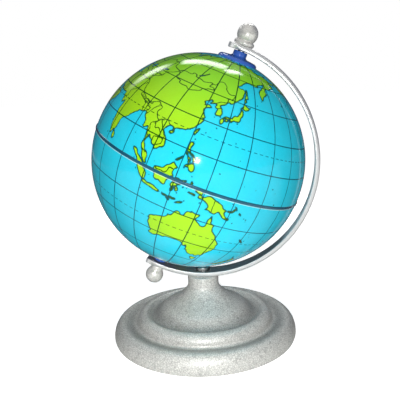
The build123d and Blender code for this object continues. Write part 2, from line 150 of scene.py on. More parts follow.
    "sumatra": """
        95.3,5.6 97.4,5.2 98.8,3.6 100.4,2.3 101.8,1.8 103.4,0.4 104,-1 106,-3 105.8,-5.7 104.6,-5.8
        102.3,-4 100.8,-2 99.8,0.1 98.6,1.8 97.2,3.1 95.7,4.5
        """,
    "java": """
        105.2,-6.8 106.1,-5.95 108.5,-6.6 110.8,-6.4 112.7,-6.9 114.4,-7.7 114.4,-8.6 111.5,-8.3 108.2,-7.8
        106.4,-7.4
        """,
    "borneo": """
        109.6,2 111.3,2.5 113,3.2 114.2,4.6 115.5,5.5 116.8,7 117.7,6.4 119.2,5.3 118,4.3 117.7,3.4 118,2.2
        119,1 117.7,0.6 117.4,-0.8 116.4,-1.8 116.2,-3.9 114.7,-4.1 113,-3.2 111.6,-3.5 110.2,-2.9 110,-1.4
        109.1,-0.2 109,1.2
        """,
    "sulawesi": """
        125.2,1.6 124.3,0.4 121.5,0.5 120.2,0.4 120.1,-0.8 121,-1.4 123.2,-0.9 123.3,-1.2 121.6,-1.9
        122.3,-3.2 122.8,-4.5 121.6,-4.8 121.3,-3.1 120.9,-2.7 120.4,-3.2 120.4,-5.5 119.5,-5.5 119.5,-3.5
        118.9,-2.8 119.8,-0.2 120.3,1 122.9,0.9
        """,
    "halmahera": "127.6,2 128.2,1.4 128.6,1.4 127.9,0.5 128.4,-0.9 127.7,-0.2 127.4,1.1",
    "seram": "128,-3.1 130.8,-3.1 130.6,-3.8 128,-3.5",
    "timor": "123.5,-10.3 125,-8.9 127.2,-8.4 125.6,-9.7",
    "sumba": "119,-9.4 120.8,-10 120,-10.4",
    "flores": "119.8,-8.5 122.8,-8.2 122.8,-8.8 120,-8.9",
    "sumbawa": "116.8,-8.4 119.1,-8.3 119,-8.8 116.8,-9",
    "new_guinea": """
        131,-0.8 132.5,-0.35 134,-0.8 134.2,-2.4 135.1,-3.3 137.8,-1.6 141,-2.6 144.5,-3.9 145.8,-5.4
        147.6,-6 147,-6.8 148.2,-8.6 150.8,-10.3 149.7,-10.6 147.4,-9.9 146,-8.6 144.3,-7.7 142.8,-9.2
        141,-9.1 139,-8.1 138,-8.3 138.8,-7 138,-5.6 135.5,-4.4 133,-4.1 132.8,-3 133.8,-2.4 132,-2
        130.9,-1.4
        """,
    "new_britain": "148.4,-5.7 150.6,-5.5 151.8,-4.2 152.2,-4.9 150.5,-6.2 148.7,-6.2",
    "new_ireland": "150.8,-2.6 152.2,-3.3 153,-4.6 152.2,-4",
    "bougainville": "154.6,-5.5 155.4,-6 155.9,-6.8 155,-6.4",
    "australia": """
        142.5,-10.7 143.3,-13 143.6,-14.4 145.3,-15 145.5,-16.8 146.3,-18.8 147.5,-19.7 149,-20.7
        149.8,-22.4 150.8,-23.4 152.5,-25 153.2,-25.8 153.2,-27.3 153.6,-28.8 152.8,-31.5 151.5,-33.2
        150.6,-35.1 150,-37.3 147.8,-37.9 146.4,-39.1 145.2,-38.4 143.5,-38.8 141.5,-38.4 140,-37.2
        139.3,-35.7 138.2,-35.6 138.4,-34.7 138,-33.1 137.5,-32.7 137,-33.4 137.2,-32.2 137.8,-32.6 136,-33
        135,-31.9 134.2,-31.1 132.5,-30.8 131.2,-30.6 129,-30.7 126,-30.9 124.3,-31.2 123.6,-32.1 120,-32.1
        118.2,-33.2 116.6,-33.2 115.1,-32.5 115.7,-31 115.6,-30.5 114.8,-29.3 114,-27.5 113.4,-26
        113.8,-24.5 113.6,-22.8 114.1,-21.8 115.6,-21.4 117,-20.7 119.1,-20 121,-19.5 122.3,-18.1
        122.3,-17.1 123.3,-17.3 124.3,-16.4 124.6,-15.3 125.5,-14.3 126.9,-13.8 128.2,-14.8 129.5,-14.9
        130.2,-13.1 130.9,-12.3 132.6,-12 132.6,-11.4 135,-12.1 136.8,-12.1 136.6,-13 135.9,-13.6 135.7,-15
        137.5,-16.1 139.3,-17.4 140.9,-17.5 141.6,-15.5 141.6,-13.5 142.1,-11.4
        """,
    "tasmania": "144.7,-40.8 146.5,-41.1 148.3,-40.9 148.2,-42.2 147.4,-43.4 146.2,-43.6 145.3,-42.6",
    "north_island": """
        172.7,-34.5 174.5,-36 175.4,-36.6 176.4,-37.6 178.5,-37.7 177.9,-39.2 177,-39.5 176.2,-41.2
        175,-41.4 175.1,-40.1 173.8,-39.4 174.7,-38 174.4,-36.6
        """,
    "south_island": """
        172.7,-40.6 174.2,-41.3 174.3,-41.8 172.7,-43.6 171.2,-44.5 170.6,-46 168.4,-46.6 166.6,-45.9
        168.5,-44 171.2,-42.4
        """,
    "new_caledonia": "164,-20.1 166.9,-22.1 166.6,-22.4 164.2,-20.9",
    "luzon": "120.6,18.5 122.2,18.4 121.6,16 122.3,14.2 124,13 123.8,12.6 121.6,13.8 120.6,13.9 120.2,16",
    "samar": "124.3,12.5 125.5,12.1 125.7,11 125.1,10.2 124.5,10.9",
    "mindanao": "122.2,7.9 123.5,8.6 125.5,9.7 126.5,7.5 125.7,5.8 124.2,6.6 123.9,7.6 122.1,7.1",
    "palawan": "117.2,8.5 119.4,11.2 119.6,10.6 117.8,8.3",
    "panay": "121.9,11.8 123.1,11.5 122.4,10.5",
    "negros": "122.5,9.8 123.5,10.9 123.2,9.1",
    "mindoro": "120.4,13.4 121.5,13.1 121.1,12.3",
    "taiwan": "121.5,25.3 121.9,24.9 120.9,22 120.1,23.1 120.6,24.4",
    "hainan": "108.7,19.3 110.5,20.1 111,19.7 110,18.4 108.8,18.5",
    "kyushu": "129.7,33.2 131,33.9 131.9,33 131.4,31.4 130.3,31.1",
    "shikoku": "132.6,33.9 134.5,34.3 134.2,33.4 132.8,32.8",
    "honshu": """
        131,34.2 133,34.5 135.2,34.7 135.8,33.5 137,34.6 138.8,34.7 140,35 140.8,35.8 141,37.5 141.9,39.3
        141.4,41.3 140.3,41.1 139.9,39.3 138.5,37.4 137.2,37.3 136.2,36.2 135.8,35.5 133,35.5 131.2,34.7
        """,
    "hokkaido": """
        140.1,41.5 141,42.4 143.2,42 145.5,43.3 144.3,44.1 142.9,44.7 141.8,45.4 141.4,43.4 140.2,42.3
        """,
    "sakhalin": """
        142,46 143.4,46.8 142.8,48 144.5,49 143.5,50.4 143.2,52.5 142.7,54.3 142.1,53 142.1,51 142.1,48.5
        """,
    "america": """
        -168,65.6 -164,66.5 -162,66.3 -163.8,67.2 -166.5,68.4 -163,69.5 -156.6,71.3 -150,70.5 -141,69.6
        -136,69 -133,69.6 -128,70.4 -125,69.6 -120,69.5 -115,68.8 -115,67.9 -108,67.8 -107,68.6 -101,67.8
        -97,68.4 -95.5,71.8 -92.5,71.5 -92,69.6 -88.5,68.8 -85.5,69.6 -82,69.8 -81.5,68.4 -86,67.3 -86,66.2
        -88.5,64.8 -91,63.5 -94.2,61 -94.7,59 -92.7,57 -88,56.6 -82.3,55.2 -82.2,53 -80.3,51.3 -79,51.5
        -79,54.5 -77,56 -78.4,58.8 -77.5,60.5 -78,62.4 -73.5,62.4 -69.7,61 -69.5,59 -66,58.7 -64.6,60.3
        -62,57.8 -58,54.8 -55.8,52.6 -60,50.2 -66.5,50.1 -69.5,48.2 -65.3,49.1 -64.3,48.6 -65,47 -62,45.9
        -60.3,46.9 -60.5,45.6 -65.8,43.5 -66,44.7 -67,44.9 -70,43.8 -70.7,42.5 -70.2,41.8 -73.8,40.7
        -74.3,39.3 -75.6,38 -76,36.9 -75.7,35.3 -78,33.9 -81,32 -81.4,30.3 -80.1,26.8 -80.5,25.2 -81.8,26
        -82.7,28 -84,30 -87,30.4 -89.4,30.2 -89.3,29.1 -91.5,29.5 -94,29.6 -97,28 -97.5,25.5 -97.7,22.5
        -96,19.2 -94.3,18.2 -91,18.6 -90.3,21 -87,21.5 -87.8,18.4 -88.5,15.9 -84,15.8 -83.3,14.5 -83.6,11
        -82,9.1 -79.6,9.6 -77.3,8.5 -75.5,10.6 -72.3,12 -71.3,10.8 -70,12 -68,10.7 -63,10.7 -61.8,9.8
        -60,8.4 -57,6.1 -52,4.7 -50,1.8 -50.3,-0.2 -48,-0.8 -44.5,-2.6 -41,-3 -37,-4.8 -35.2,-5.8 -34.9,-8.3
        -37.2,-11.5 -39,-13.5 -39.2,-17.8 -41,-22 -44.5,-23.1 -48.5,-26 -48.7,-28.6 -52.2,-32.5 -54.5,-34.8
        -58.3,-34.1 -57,-36.2 -58,-38.2 -62,-39 -65,-41 -64.5,-42.8 -67.3,-45.5 -65.8,-47.4 -69,-50.5
        -68.4,-52.4 -65.2,-54.7 -68,-55.6 -72,-54 -75,-51.5 -75.5,-47 -73,-42 -73.6,-38.5 -71.6,-33
        -71.5,-29 -70.3,-23 -70.3,-18.4 -76.2,-14 -79.5,-7.8 -81.3,-4.8 -80.2,-3 -81,-1.5 -80,0.5 -78.8,1.6
        -77.2,4 -77.5,7 -78.3,8.8 -80,8.5 -80.5,7.4 -83,8.4 -85.7,10 -87.7,13 -91.5,14 -94.5,16.2 -97.5,15.9
        -101.8,17.8 -105.5,20 -105.5,22.5 -109.4,26.5 -112.7,30 -114.8,31.8 -112.8,28.5 -109.5,23.1
        -112.2,25 -114.5,28 -115.8,30 -117.2,32.6 -120.6,34.6 -122.5,37.2 -124.3,40.4 -124,44 -124.6,48.3
        -122.5,48.8 -127.5,51 -130.3,54.7 -134,58.3 -139.5,59.8 -146,60.9 -149.8,59.9 -151.5,61 -154,59.1
        -158,56.5 -164.8,54.7 -160.5,56 -157.5,58.6 -162,58.7 -162,60 -166,61.7 -164.5,63.1 -161,64.4
        -166.3,64.6
        """,
    "vancouver_island": "-128,50.8 -125,50 -123.5,48.4 -125.8,49.2",
    "kodiak": "-154.5,57.3 -152.3,58 -152.9,57.2",
    "baffin_island": """
        -65,62 -71.5,63.7 -78,64.6 -73.5,66.3 -72.5,68 -78,70 -88,70.3 -89.5,72 -85,73.6 -80.5,73.7 -75,71.5
        -68,70 -61.5,66.7 -64,65 -67.5,63.3
        """,
    "victoria_island": "-105.5,69 -117,68.9 -116,70.6 -118.8,71.5 -117,73 -110,72.9 -105,72.4 -101.5,69.8",
    "banks_island": "-125.8,72 -122,74.3 -116.5,73.3 -121,71.2",
    "ellesmere": """
        -90,76.5 -79,76.4 -75.5,78.5 -66,80.8 -61.5,82.3 -70,83.1 -88,82.2 -92,81 -86,79.5 -88,78
        """,
    "devon": "-96,76.5 -80,75.6 -80,74.6 -92,74.7",
    "melville": "-118,76 -106,75.8 -106,74.9 -115,74.8",
    "somerset": "-102,73.8 -90.5,74 -92,72.8 -97,71.8 -102,72.7",
    "southampton": "-87,65.6 -81,64 -84,63 -87,63.6",
    "newfoundland": "-59.3,47.7 -55.8,46.9 -53,46.7 -53,48.5 -55.5,49.9 -55.6,51.5 -57.8,49.5",
    "superior": "-92,46.7 -89,48.4 -85.5,48 -84.7,46.6 -87.5,46.6",
    "michigan": "-87.8,42 -87.8,44.6 -86,46 -84.8,45.8 -86.4,43.6 -86.7,41.8",
    "huron": "-84,45.9 -81.5,46 -80,44.7 -81.7,43.2 -82.7,43.1 -83.6,44",
    "erie": "-83.2,41.6 -80.5,42.6 -79,42.9 -81.5,41.5",
    "ontario": "-79.6,43.3 -77,44 -76.3,43.6",
    "winnipeg": "-97,50.5 -99,53.5 -97.8,53.8 -96.4,51",
    "slave_lake": "-116.8,61 -112,62.5 -109.8,62.8 -113.5,61",
    "bear_lake": "-124.5,66 -119,66.9 -118,66 -122,65",
    "cuba": "-84.8,21.9 -82.5,23.1 -80,23 -75.5,20.9 -74.2,20.2 -77.5,19.8 -81,21.8",
    "hispaniola": "-74.4,18.4 -73,19.9 -69.9,19.8 -68.4,18.6 -71.5,17.7",
    "jamaica": "-78.3,18.5 -76.3,18.1 -77.5,17.8",
    "puerto_rico": "-67.2,18.5 -65.7,18.4 -66.5,17.9",
    "falklands": "-61,-51.7 -58,-51.4 -59,-52.2",
    "kerguelen": "68.9,-48.8 70.3,-49.2 69.5,-49.7",
    "antarctica": """
        -180,-78.2 -164,-78.3 -155,-77.4 -147,-76 -135,-74.8 -125,-73.8 -114,-74 -103,-75 -100,-72.5 -90,-73
        -80,-73.3 -73,-72.5 -68,-69 -65,-66 -60,-63.5 -57,-63.3 -60.5,-65 -62,-68 -61,-73 -60,-75 -50,-77.5
        -38,-78 -30,-76.5 -20,-73.5 -10,-71 0,-70 15,-70 33,-69 40,-69.5 50,-67 57,-66.7 69,-68 73,-70
        78,-68.8 90,-66.6 100,-65.5 110,-66.4 120,-66.9 135,-66.2 145,-67.2 155,-68.7 165,-70.8 170.5,-71.6
        167,-74 163,-77.6 170,-78 180,-78.2 180,-90 -180,-90
        """,
}

# Borders between countries, as open lines
BORDERS = {
    "mongolia_north": """
        87.8,49.2 90,50.5 94.3,50.6 98.2,50.6 98.5,52 102.2,51.4 102.3,50.6 107,49.8 110.5,49.2 114.5,50.2
        116.7,49.8
        """,
    "mongolia_south": """
        87.8,49.2 90.9,46.9 91,45.2 95.4,44.3 96.4,42.8 101.5,42.5 105,41.6 109,42.4 111.9,43.7 112,45
        114.5,45.4 116.2,46.3 119.8,46.7 118.5,47.9 115.6,47.8 116.7,49.8
        """,
    "amur": """
        116.7,49.8 119.3,50.3 119.9,52.7 123.6,53.5 126.9,51.3 127.5,49.8 130.9,47.7 134.7,48.3 133.1,45.1
        131.2,44.9 130.6,42.4
        """,
    "yalu": "130.6,42.4 128,42 126.9,41.7 124.4,40",
    "korea": "126.7,37.8 128.4,38.5",
    "tian_shan": "87.8,49.2 85.5,47.1 82.3,45.5 80.3,45 80.2,42.2 76.5,40.5 73.7,39.5 74.9,37.3",
    "himalaya": """
        74.9,37.3 77.8,35.5 79,32.5 81.1,30.1 84,28.9 86,28 88.1,27.9 88.9,27.3 91.7,27.8 94.5,29.2
        97.4,28.2
        """,
    "nepal": "81.1,30.1 80.1,28.8 82,27.9 84,27.4 88.1,26.4 88.1,27.9",
    "bhutan": "88.9,27.3 89.8,26.7 92,26.9 91.7,27.8",
    "bangladesh": "88.9,21.8 88.1,24.5 88.2,26.2 89.8,25.9 89.9,25.2 92.4,25 92.2,24 91.4,23.3 92.4,21.5",
    "burma_west": "92.4,21 93.2,22.2 94.2,24 95.2,26.5 97.4,28.2",
    "burma_east": """
        97.4,28.2 98.7,27.5 97.6,24.8 98.9,23.2 99.6,22 101.1,21.6 100.1,20.4 97.7,18.6 98.9,16 98.2,14.8
        99.6,11.9 98.7,10.2
        """,
    "mekong": "101.1,21.6 100.5,19.7 101.2,17.6 103,18.4 104.8,16.5 105.6,14.4",
    "laos_east": """
        101.1,21.6 102.1,22.4 104,20.4 105.2,18.6 107.4,16 107.5,14.6 107.5,12.4 105.9,11.2 104.5,10.5
        """,
    "cambodia": "102.9,11.7 102.4,13.6 103,14.3 105.6,14.4 107.5,14.6",
    "vietnam_north": "102.1,22.4 105.3,23.3 106.7,22 108,21.5",
    "malaya": "100.1,6.5 102,5.8",
    "borneo": "109.6,2 110.5,0.9 112.2,1.4 114.8,1.6 115.7,4.2 117.6,4.2",
    "new_guinea": "141,-2.6 141,-9.1",
    "indus": "68.2,23.7 71,24.4 69.8,27.5 72.9,29.3 74.5,31 74.8,33 77.8,35.5",
    "afghan_south": "61.6,25.2 63.2,27.2 60.9,29.8 66.3,29.9 69.3,31.9 71.2,36 74.9,37.3",
    "afghan_north": "60.9,29.8 61,35.6 64.7,37.1 68,37 71.5,37 74.9,37.3",
    "iran_north": "61,35.6 57,38.2 53.9,37.3",
    "iran_west": "48.5,30 46,33 45.5,36 44.5,39.5 48,39 48.8,38.5",
    "arabia_north": "48,29.5 44,29.3 39,32 36,29.3 35,29.4",
    "levant": "39,32 42,36.5 44.5,37.2 42,37 36.5,36.3",
    "yemen": "42.9,16.4 46,17.2 52,19 55,22.5 51.6,24.2",
    "kazakh_north": """
        49,46.4 47,49.8 51,51.5 55.5,50.8 61,51 61.5,53.5 69,55.3 71,54.2 76.8,54.2 80,50.9 87.8,49.2
        """,
    "kazakh_south": "56,41.3 56,45 61.8,43.5 66.1,41.9 71,42.3 80.2,42.2",
    "amu_darya": "56,41.3 61,41.2 64.7,37.1",
    "fergana": "66.1,41.9 68,39 71,41 73.7,39.5",
    "caucasus": "40,43.4 44,42.6 48.2,42",
    "turkey_east": "41.5,41.5 43.7,41 44.5,39.5",
    "russia_west": "28.1,59.5 27.5,57.5 31,55.5 31.8,52.2 34.5,51.5 40,49.5 38.3,47.2",
    "finland": "28,60.6 31,62.8 29,66.5 28.5,69.5",
    "norway": "11.2,59 12.5,62 14.5,65.5 18,68.5 24,68.7 28.5,69.5",
    "sweden_north": "24,65.8 24,68.7",
    "poland": "14.3,53.9 15,51 19,49.5 23,49 23.5,53.5 20,54.4",
    "baltic": "23.5,53.5 27.5,57.5",
    "germany_west": "7,53.4 6.2,50.5 8.2,49 7.6,47.6",
    "alps": "7.6,47.6 7,45.5 7.5,43.8",
    "danube": "15,51 12.5,50 13.5,48.6 17,48 22.5,48 29,45.4",
    "balkans": "13.7,45.6 16.5,46.5 19.5,46 22.5,44 28.5,43.7",
    "greece": "20,39.7 23,41.3 26.5,41.5",
    "pyrenees": "-1.8,43.4 3.1,42.4",
    "portugal": "-8.8,42 -6.5,41.8 -7.2,38.5 -7.4,37.2",
    "libya_east": "25,31.6 25,22 37,22",
    "libya_west": "11.5,33.1 9.5,30.2 10,26.5 12,23.5 15,23 24,19.5 25,22",
    "algeria": "-2.2,35.1 -1.5,32 -8.7,28.7 -8.7,27.3 -4.8,25 3.2,19 12,23.5",
    "sahara_west": "-13,27.7 -8.7,27.3 -12,23.4 -17,21.2",
    "mali": "-4.8,25 -6,15.5 -12.2,14.8 -16.3,16",
    "niger": "3.2,19 4.2,16.5 0.5,15 3.6,11.7 13.6,13.7 15,23",
    "guinea": "-12.2,14.8 -11.5,12.4 -8,10.2 -5,10.4 0.5,11 3.6,11.7",
    "ivory_coast": "-7.5,4.4 -8.3,7.5 -8,10.2",
    "ghana": "-3,5.1 -2.8,9.6 0,11 1.2,6.1",
    "nigeria": "2.7,6.4 3.6,11.7 13.6,13.7 9,6 8.5,4.8",
    "chad": "24,19.5 22.5,13 23,10 15.5,7.5 15,12 13.6,13.7",
    "sudan": "23,10 27.5,5 34,4.3 36,12.5 37,17 38.5,18",
    "ethiopia": "34,4.3 41.8,4 48,8 43.2,11.5",
    "kenya": "41.8,4 41,-1.7 39.3,-4.7 34,-1 34,4.3",
    "congo": "27.5,5 18.6,4.3 16.5,-2 12.3,-5.9",
    "congo_east": "27.5,5 31,2 29.5,-2 29.3,-4.5 30.5,-8.3 28.5,-9 28.5,-13 24,-11 22,-11.2 18,-8 13,-6",
    "tanzania": "30.5,-8.3 33,-9.5 34.6,-11.5 40.4,-10.5",
    "angola": "24,-11 24,-17.5 12,-17.2",
    "zambezi": "24,-17.5 26,-18 30,-15.7 33,-14 33,-9.5",
    "botswana": "21,-18 20,-22 20,-28.5 16.5,-28.6",
    "limpopo": "20,-25 25,-25.5 29.5,-22.2 31.5,-22.4 32,-26.8",
    "mozambique": "31.5,-22.4 33,-20 32.8,-16.5 30,-15.7",
    "canada": """
        -123,49 -95.2,49 -89.5,48 -84.5,46.6 -82.6,42.8 -79,43 -76.4,44.1 -71,45.2 -69,47.4 -67,45.1
        """,
    "alaska": "-141,69.6 -141,60.3 -137,58.9 -130.2,55.4",
    "rio_grande": "-117.1,32.5 -111,31.3 -106.5,31.8 -101.5,29.8 -97.4,25.9",
    "yucatan": "-92.2,14.6 -91,17.3 -88.3,17.8",
    "honduras": "-89.3,13.6 -83.2,15",
    "panama": "-82.8,9.5 -82.9,8.3",
    "colombia": "-77.3,8.4 -77.8,7.3",
    "venezuela": "-71.8,11.5 -72.5,7.5 -67.5,6 -67,1.2 -64,1.5 -60.7,4.8 -60.5,8",
    "guyana": "-60.7,4.8 -57.5,1.8 -52,4.3",
    "brazil_west": """
        -67,1.2 -70,-0.5 -70,-4.2 -73.5,-7.5 -70.5,-11 -65.5,-10 -60,-14.5 -58,-19.5 -54.5,-25.6 -53.8,-27.2
        -57.6,-30.2 -53.5,-33.6
        """,
    "peru": "-70,-4.2 -75,-0.2 -80.2,-3.4",
    "ecuador": "-75,-0.2 -78.8,1.5",
    "bolivia": "-70.5,-11 -69.2,-16 -69.5,-17.6 -67.5,-22.8 -62.5,-22.2 -58,-19.5",
    "paraguay": "-62.5,-22.2 -57.7,-25.2 -54.5,-25.6",
    "andes": "-69.5,-17.6 -67.5,-22.8 -70,-30 -71,-38 -72,-46 -72.5,-51 -68.5,-52.3",
    "uruguay": "-57.6,-30.2 -58.3,-33.9",
}

# Islands too small for an outline, each a dark speck
SPECKS = """
    92.8,12.5 92.7,11.5 93.8,7.2 73.2,4.5 73.4,2 72,-7 72.8,10.8 96.8,-12.2 105.6,-10.5 97.5,1.1 98.8,-1.3
    100.3,-3 105.9,-1.9 106.6,-2.4 107.7,-2.9 106,3 108.2,3.9 104.5,1.1 112,16.5 114.5,10.5 113.2,-7
    115.2,-8.4 116.3,-8.6 118.5,-6.8 123,-5.5 122.5,-5.3 126.6,-3.4 124.8,-1.9 126.1,-1.8 127.5,-0.5
    130.5,-0.2 131.5,-7.7 134.4,-6.2 133,-5.7 129.9,-4.6 127.6,-7.8 125.5,3.6 126.7,4.2 121,6 120.2,5.2
    122,6.6 119.9,12 122,12.5 123.6,12.2 123.9,10.3 124.4,9.8 122.6,13.3 121.9,19.2 122,20.4 124.2,24.4
    125.3,24.8 127.9,26.5 128.9,27.7 129.5,28.4 130.6,30.4 126.5,33.4 129.3,34.5 138.3,38 139.4,34 140,32.5
    142.2,27 141.3,24.8 141.2,25.8 145.8,18 145.7,15.1 144.8,13.5 138.1,9.5 134.5,7.5 151.8,7.4 158.2,6.9
    163,5.3 168.5,9 171,7.1 166.9,11 172.9,1.4 174,-1 166.9,-0.6 149.5,-2 147,-2.1 150.3,-9.5 151,-8.6
    152.8,-9.1 153.5,-11.5 157,-7.5 158.5,-8 160,-9.5 161.4,-10.4 159.8,-8.4 167,-15.3 167.4,-16.3
    168.3,-17.7 169.2,-19 167.3,-20.9 178,-17.8 179.2,-16.6 -175.2,-21.1 -172.3,-13.6 -170.7,-14.3
    -159.8,-21.2 -149.4,-17.6 -151.5,-16.8 -140,-9 -109.3,-27.1 173.5,-43.9 -176.5,-43.9 166,-50.6 168,-47
    158.9,-54.6 159,-31.5 168,-29 144,-39.7 148.2,-40 136.6,-35.8 146,43.9 147.9,45 149.9,46 151.9,47
    154.3,48.9 155.8,50.3 166,55.2 173,52.9 179,51.5 -177,51.8 -174.5,52.1 -172,52.5 -168.5,53.2 -166.5,53.8
    -170,57.2 -171,63.4 -166,60.2 137.5,55 -155.5,19.6 -156.3,20.8 -158,21.5 -159.5,22 -91,-0.6 -90.3,-0.4
    -80,-33.6 -132,53.5 -82,9.9 -61,10.5 -61,14.5 -61.4,16.2 -62.8,17.3 -77.5,24.5 -75.5,23.5 -78,26.5
    -64.8,32.3 -81,19.4 -25.5,37.8 -28,38.5 -16.9,32.7 -16.5,28.3 -14,28.5 -23.5,15 -25,17 8.7,3.5 6.6,0.3
    -5.7,-16 -14.4,-8 -12.3,-37.1 -37,-54.4 -45.5,-60.7 3.4,-54.4 55.5,-4.6 57.6,-20.2 55.5,-21.1 43.4,-11.8
    44.3,-12.3 54,12.5 39.4,-6.2 37.8,-46.9 51.5,-46.4 77.5,-37.8 73.5,-53 2.9,39.5 14.4,35.9 24.5,38
    27.2,36.2 -7,62 -1.3,60.3 -7,57.5 19,57.5 -12,78 50,80.5 60,80.5 123.2,11.5 122.3,10.7 123.1,9.8
    124.2,11.3 125,10.8 123.8,9.7 124.6,12.2 121.4,11.5 122.9,12.9 125.5,9.4 119.6,-8.7 121.7,-8.9
    123.8,-8.3 125.6,-8.1 128.1,-3 125.1,-0.4 126.4,-1.7 127.8,0.6 131,-1.8 116.4,-8.3
    """


def length(name, description, mm, least=0.0):
    """A size in metres, given here in mm."""
    return bpy.props.FloatProperty(name=name, description=description, default=mm * MM,
                                   min=least * MM, unit="LENGTH", precision=5)


def angle(name, description, degrees):
    """An angle in radians, given here in degrees."""
    return bpy.props.FloatProperty(name=name, description=description,
                                   default=math.radians(degrees), subtype="ANGLE")


def count(name, description, number, least):
    return bpy.props.IntProperty(name=name, description=description, default=number, min=least)


def watts(name, description, power):
    return bpy.props.FloatProperty(name=name, description=description, default=power, min=0,
                                   unit="POWER")


def colour(name, description, *rgb):
    return bpy.props.FloatVectorProperty(name=name, description=description, default=rgb,
                                         size=3, min=0, max=1, subtype="COLOR")


class GlobeBallSizes(bpy.types.PropertyGroup):
    """Sizes of the turning ball and of what is printed on it."""

    radius: length("Ball radius", "Outside radius of the tin ball", 52.98, 10)
    tin: length("Tin thickness", "Thickness of the pressed sheet", 0.3, 0.1)
    around: count("Columns of faces", "Faces once round the ball, which carry the print's edges", 600, 48)
    hole: length("Pole hole radius", "Hole for the bush at each pole", 4.1)
    bead: length("Seam bead width", "Width of the bead that covers the seam", 1.5)
    bead_rise: length("Seam bead height", "How far the bead stands above the ball", 0.38)
    map_turn: angle("Map turn", "Longitude that faces the front", 121.2)
    coast_line: length("Coast line width", "Width of the ink line along the coasts", 0.54)
    border_line: length("Border line width", "Width of the ink line between countries", 0.42)
    grid_line: length("Grid line width", "Width of the meridians and parallels", 0.46)
    circle_line: length("Circle line width", "Width of the dashed tropics and polar circles", 0.3)
    grid_step: angle("Grid step", "Angle between two meridians or parallels", 15)
    wander: length("Coast wander", "How far the coasts wander off their points", 0.3)


class GlobeStandSizes(bpy.types.PropertyGroup):
    """Sizes of the arm, the finials and the base."""

    arm_radius: length("Arm radius", "Outside radius of the bent arm", 59.995, 10)
    arm_thickness: length("Arm thickness", "Thickness of the arm, measured towards the ball", 2.5, 0.2)
    arm_width: length("Arm width", "Width of the arm, along its bend's axis", 10, 1)
    arm_overhang: length("Arm overhang", "Length of the arm past each pole", 6.5)
    top_ball: length("Top finial radius", "Radius of the ball nut at the north pole", 5.05, 1)
    bottom_ball: length("Bottom finial radius", "Radius of the ball nut at the south pole", 4.65, 1)
    base_steps: count("Steps round the base", "Faces once round the base", 192, 24)


class GlobeFinishes(bpy.types.PropertyGroup):
    """Colours of the print, the enamels and the plating."""

    sea: colour("Sea", "Colour of the printed sea", 0.02, 0.68, 0.88)
    sea_patches: colour("Sea, patches", "Colour of the paler patches in the sea", 0.03, 0.68, 0.88)
    shallows: colour("Shallows", "Colour that the sea fades to along the coasts", 0, 0.42, 0.52)
    land_south: colour("Land, warm", "Colour of the land near the equator and in the south",
                       0.37, 0.74, 0.012)
    land_north: colour("Land, cool", "Colour of the land in the north", 0.27, 0.74, 0.02)
    ink: colour("Ink", "Colour of the coast and border lines on the land", 0.001, 0.055, 0.001)
    sea_ink: colour("Ink, sea", "Colour of the coast lines on the sea", 0, 0.07, 0.1)
    land_grid: colour("Grid, land", "Colour of the grid on the land", 0, 0.08, 0)
    sea_grid: colour("Grid, sea", "Colour of the grid on the sea", 0, 0.05, 0.09)
    lip: colour("Rolled lip", "Colour of the tin's bare lip beside the bead", 0.75, 0.82, 0.8)
    bead: colour("Seam bead", "Colour of the bead along the seam", 0.001, 0.09, 0.155)
    bush: colour("Bush", "Colour of the moulded bush at each pole", 0.034, 0.12, 0.504)
    arm: colour("Arm", "Colour of the arm's enamel", 0.82, 0.83, 0.83)
    # painted shade: the dark colour painted on the arm's face towards the ball, which lies in the ball's
    # shadow
    arm_painted_shade: colour("Arm, inside", "Colour of the arm's thin enamel towards the ball",
                       0.12, 0.115, 0.11)
    finial: colour("Finials", "Colour of the finials' silver enamel", 0.84, 0.83, 0.79)
    base: colour("Base", "Colour of the base's silver enamel", 0.605, 0.603, 0.57)
    plating: colour("Plating", "Colour of the plated screw and washer", 0.42, 0.43, 0.43)
    axle: colour("Axle", "Colour of the axle's steel", 0.5, 0.51, 0.53)
    felt: colour("Felt", "Colour of the felt under the base", 0.02, 0.02, 0.024)


class GlobeStage(bpy.types.PropertyGroup):
    """Light, floor and camera."""

    front_light: watts("Front light", "Power of the lamps beside the camera", 0.53)
    back_light: watts("Back light", "Power of the lamp behind the globe", 0.45)
    base_light: watts("Base light", "Power of the narrow lamp that evens out the light on the base", 2)
    room_light: bpy.props.FloatProperty(
        name="Room light", description="Strength of the even light from all sides",
        default=0.25, min=0)


class Value:
    """A number or colour that a shader works out. Python's signs add its Math nodes."""

    def __init__(self, finish, socket):
        self.finish = finish
        self.socket = socket

    def maths(self, operation, *others):
        inputs = dict(enumerate((self, *others)))
        return self.finish.node("ShaderNodeMath", inputs, operation=operation)

    def __add__(self, other):
        return self.maths("ADD", other)

    def __sub__(self, other):
        return self.maths("SUBTRACT", other)

    def __rsub__(self, other):
        return self.finish.node("ShaderNodeMath", {0: other, 1: self}, operation="SUBTRACT")

    def __mul__(self, other):
        return self.maths("MULTIPLY", other)

    def __truediv__(self, other):
        return self.maths("DIVIDE", other)

    def __abs__(self):
        return self.maths("ABSOLUTE")

    __radd__ = __add__
    __rmul__ = __mul__

    def most(self, other):
        return self.maths("MAXIMUM", other)

    def hypot(self, other):
        """The long side of a right angle whose sides are this value and another."""
        return (self * self + other * other).maths("SQRT")

    def off_nearest(self, step):
        """How far the value is from the nearest whole number of steps, in steps."""
        return self / step - (self / step).maths("ROUND")

    def output(self, name):
        """Another output of the node that this value comes from."""
        return Value(self.finish, self.socket.node.outputs[name])


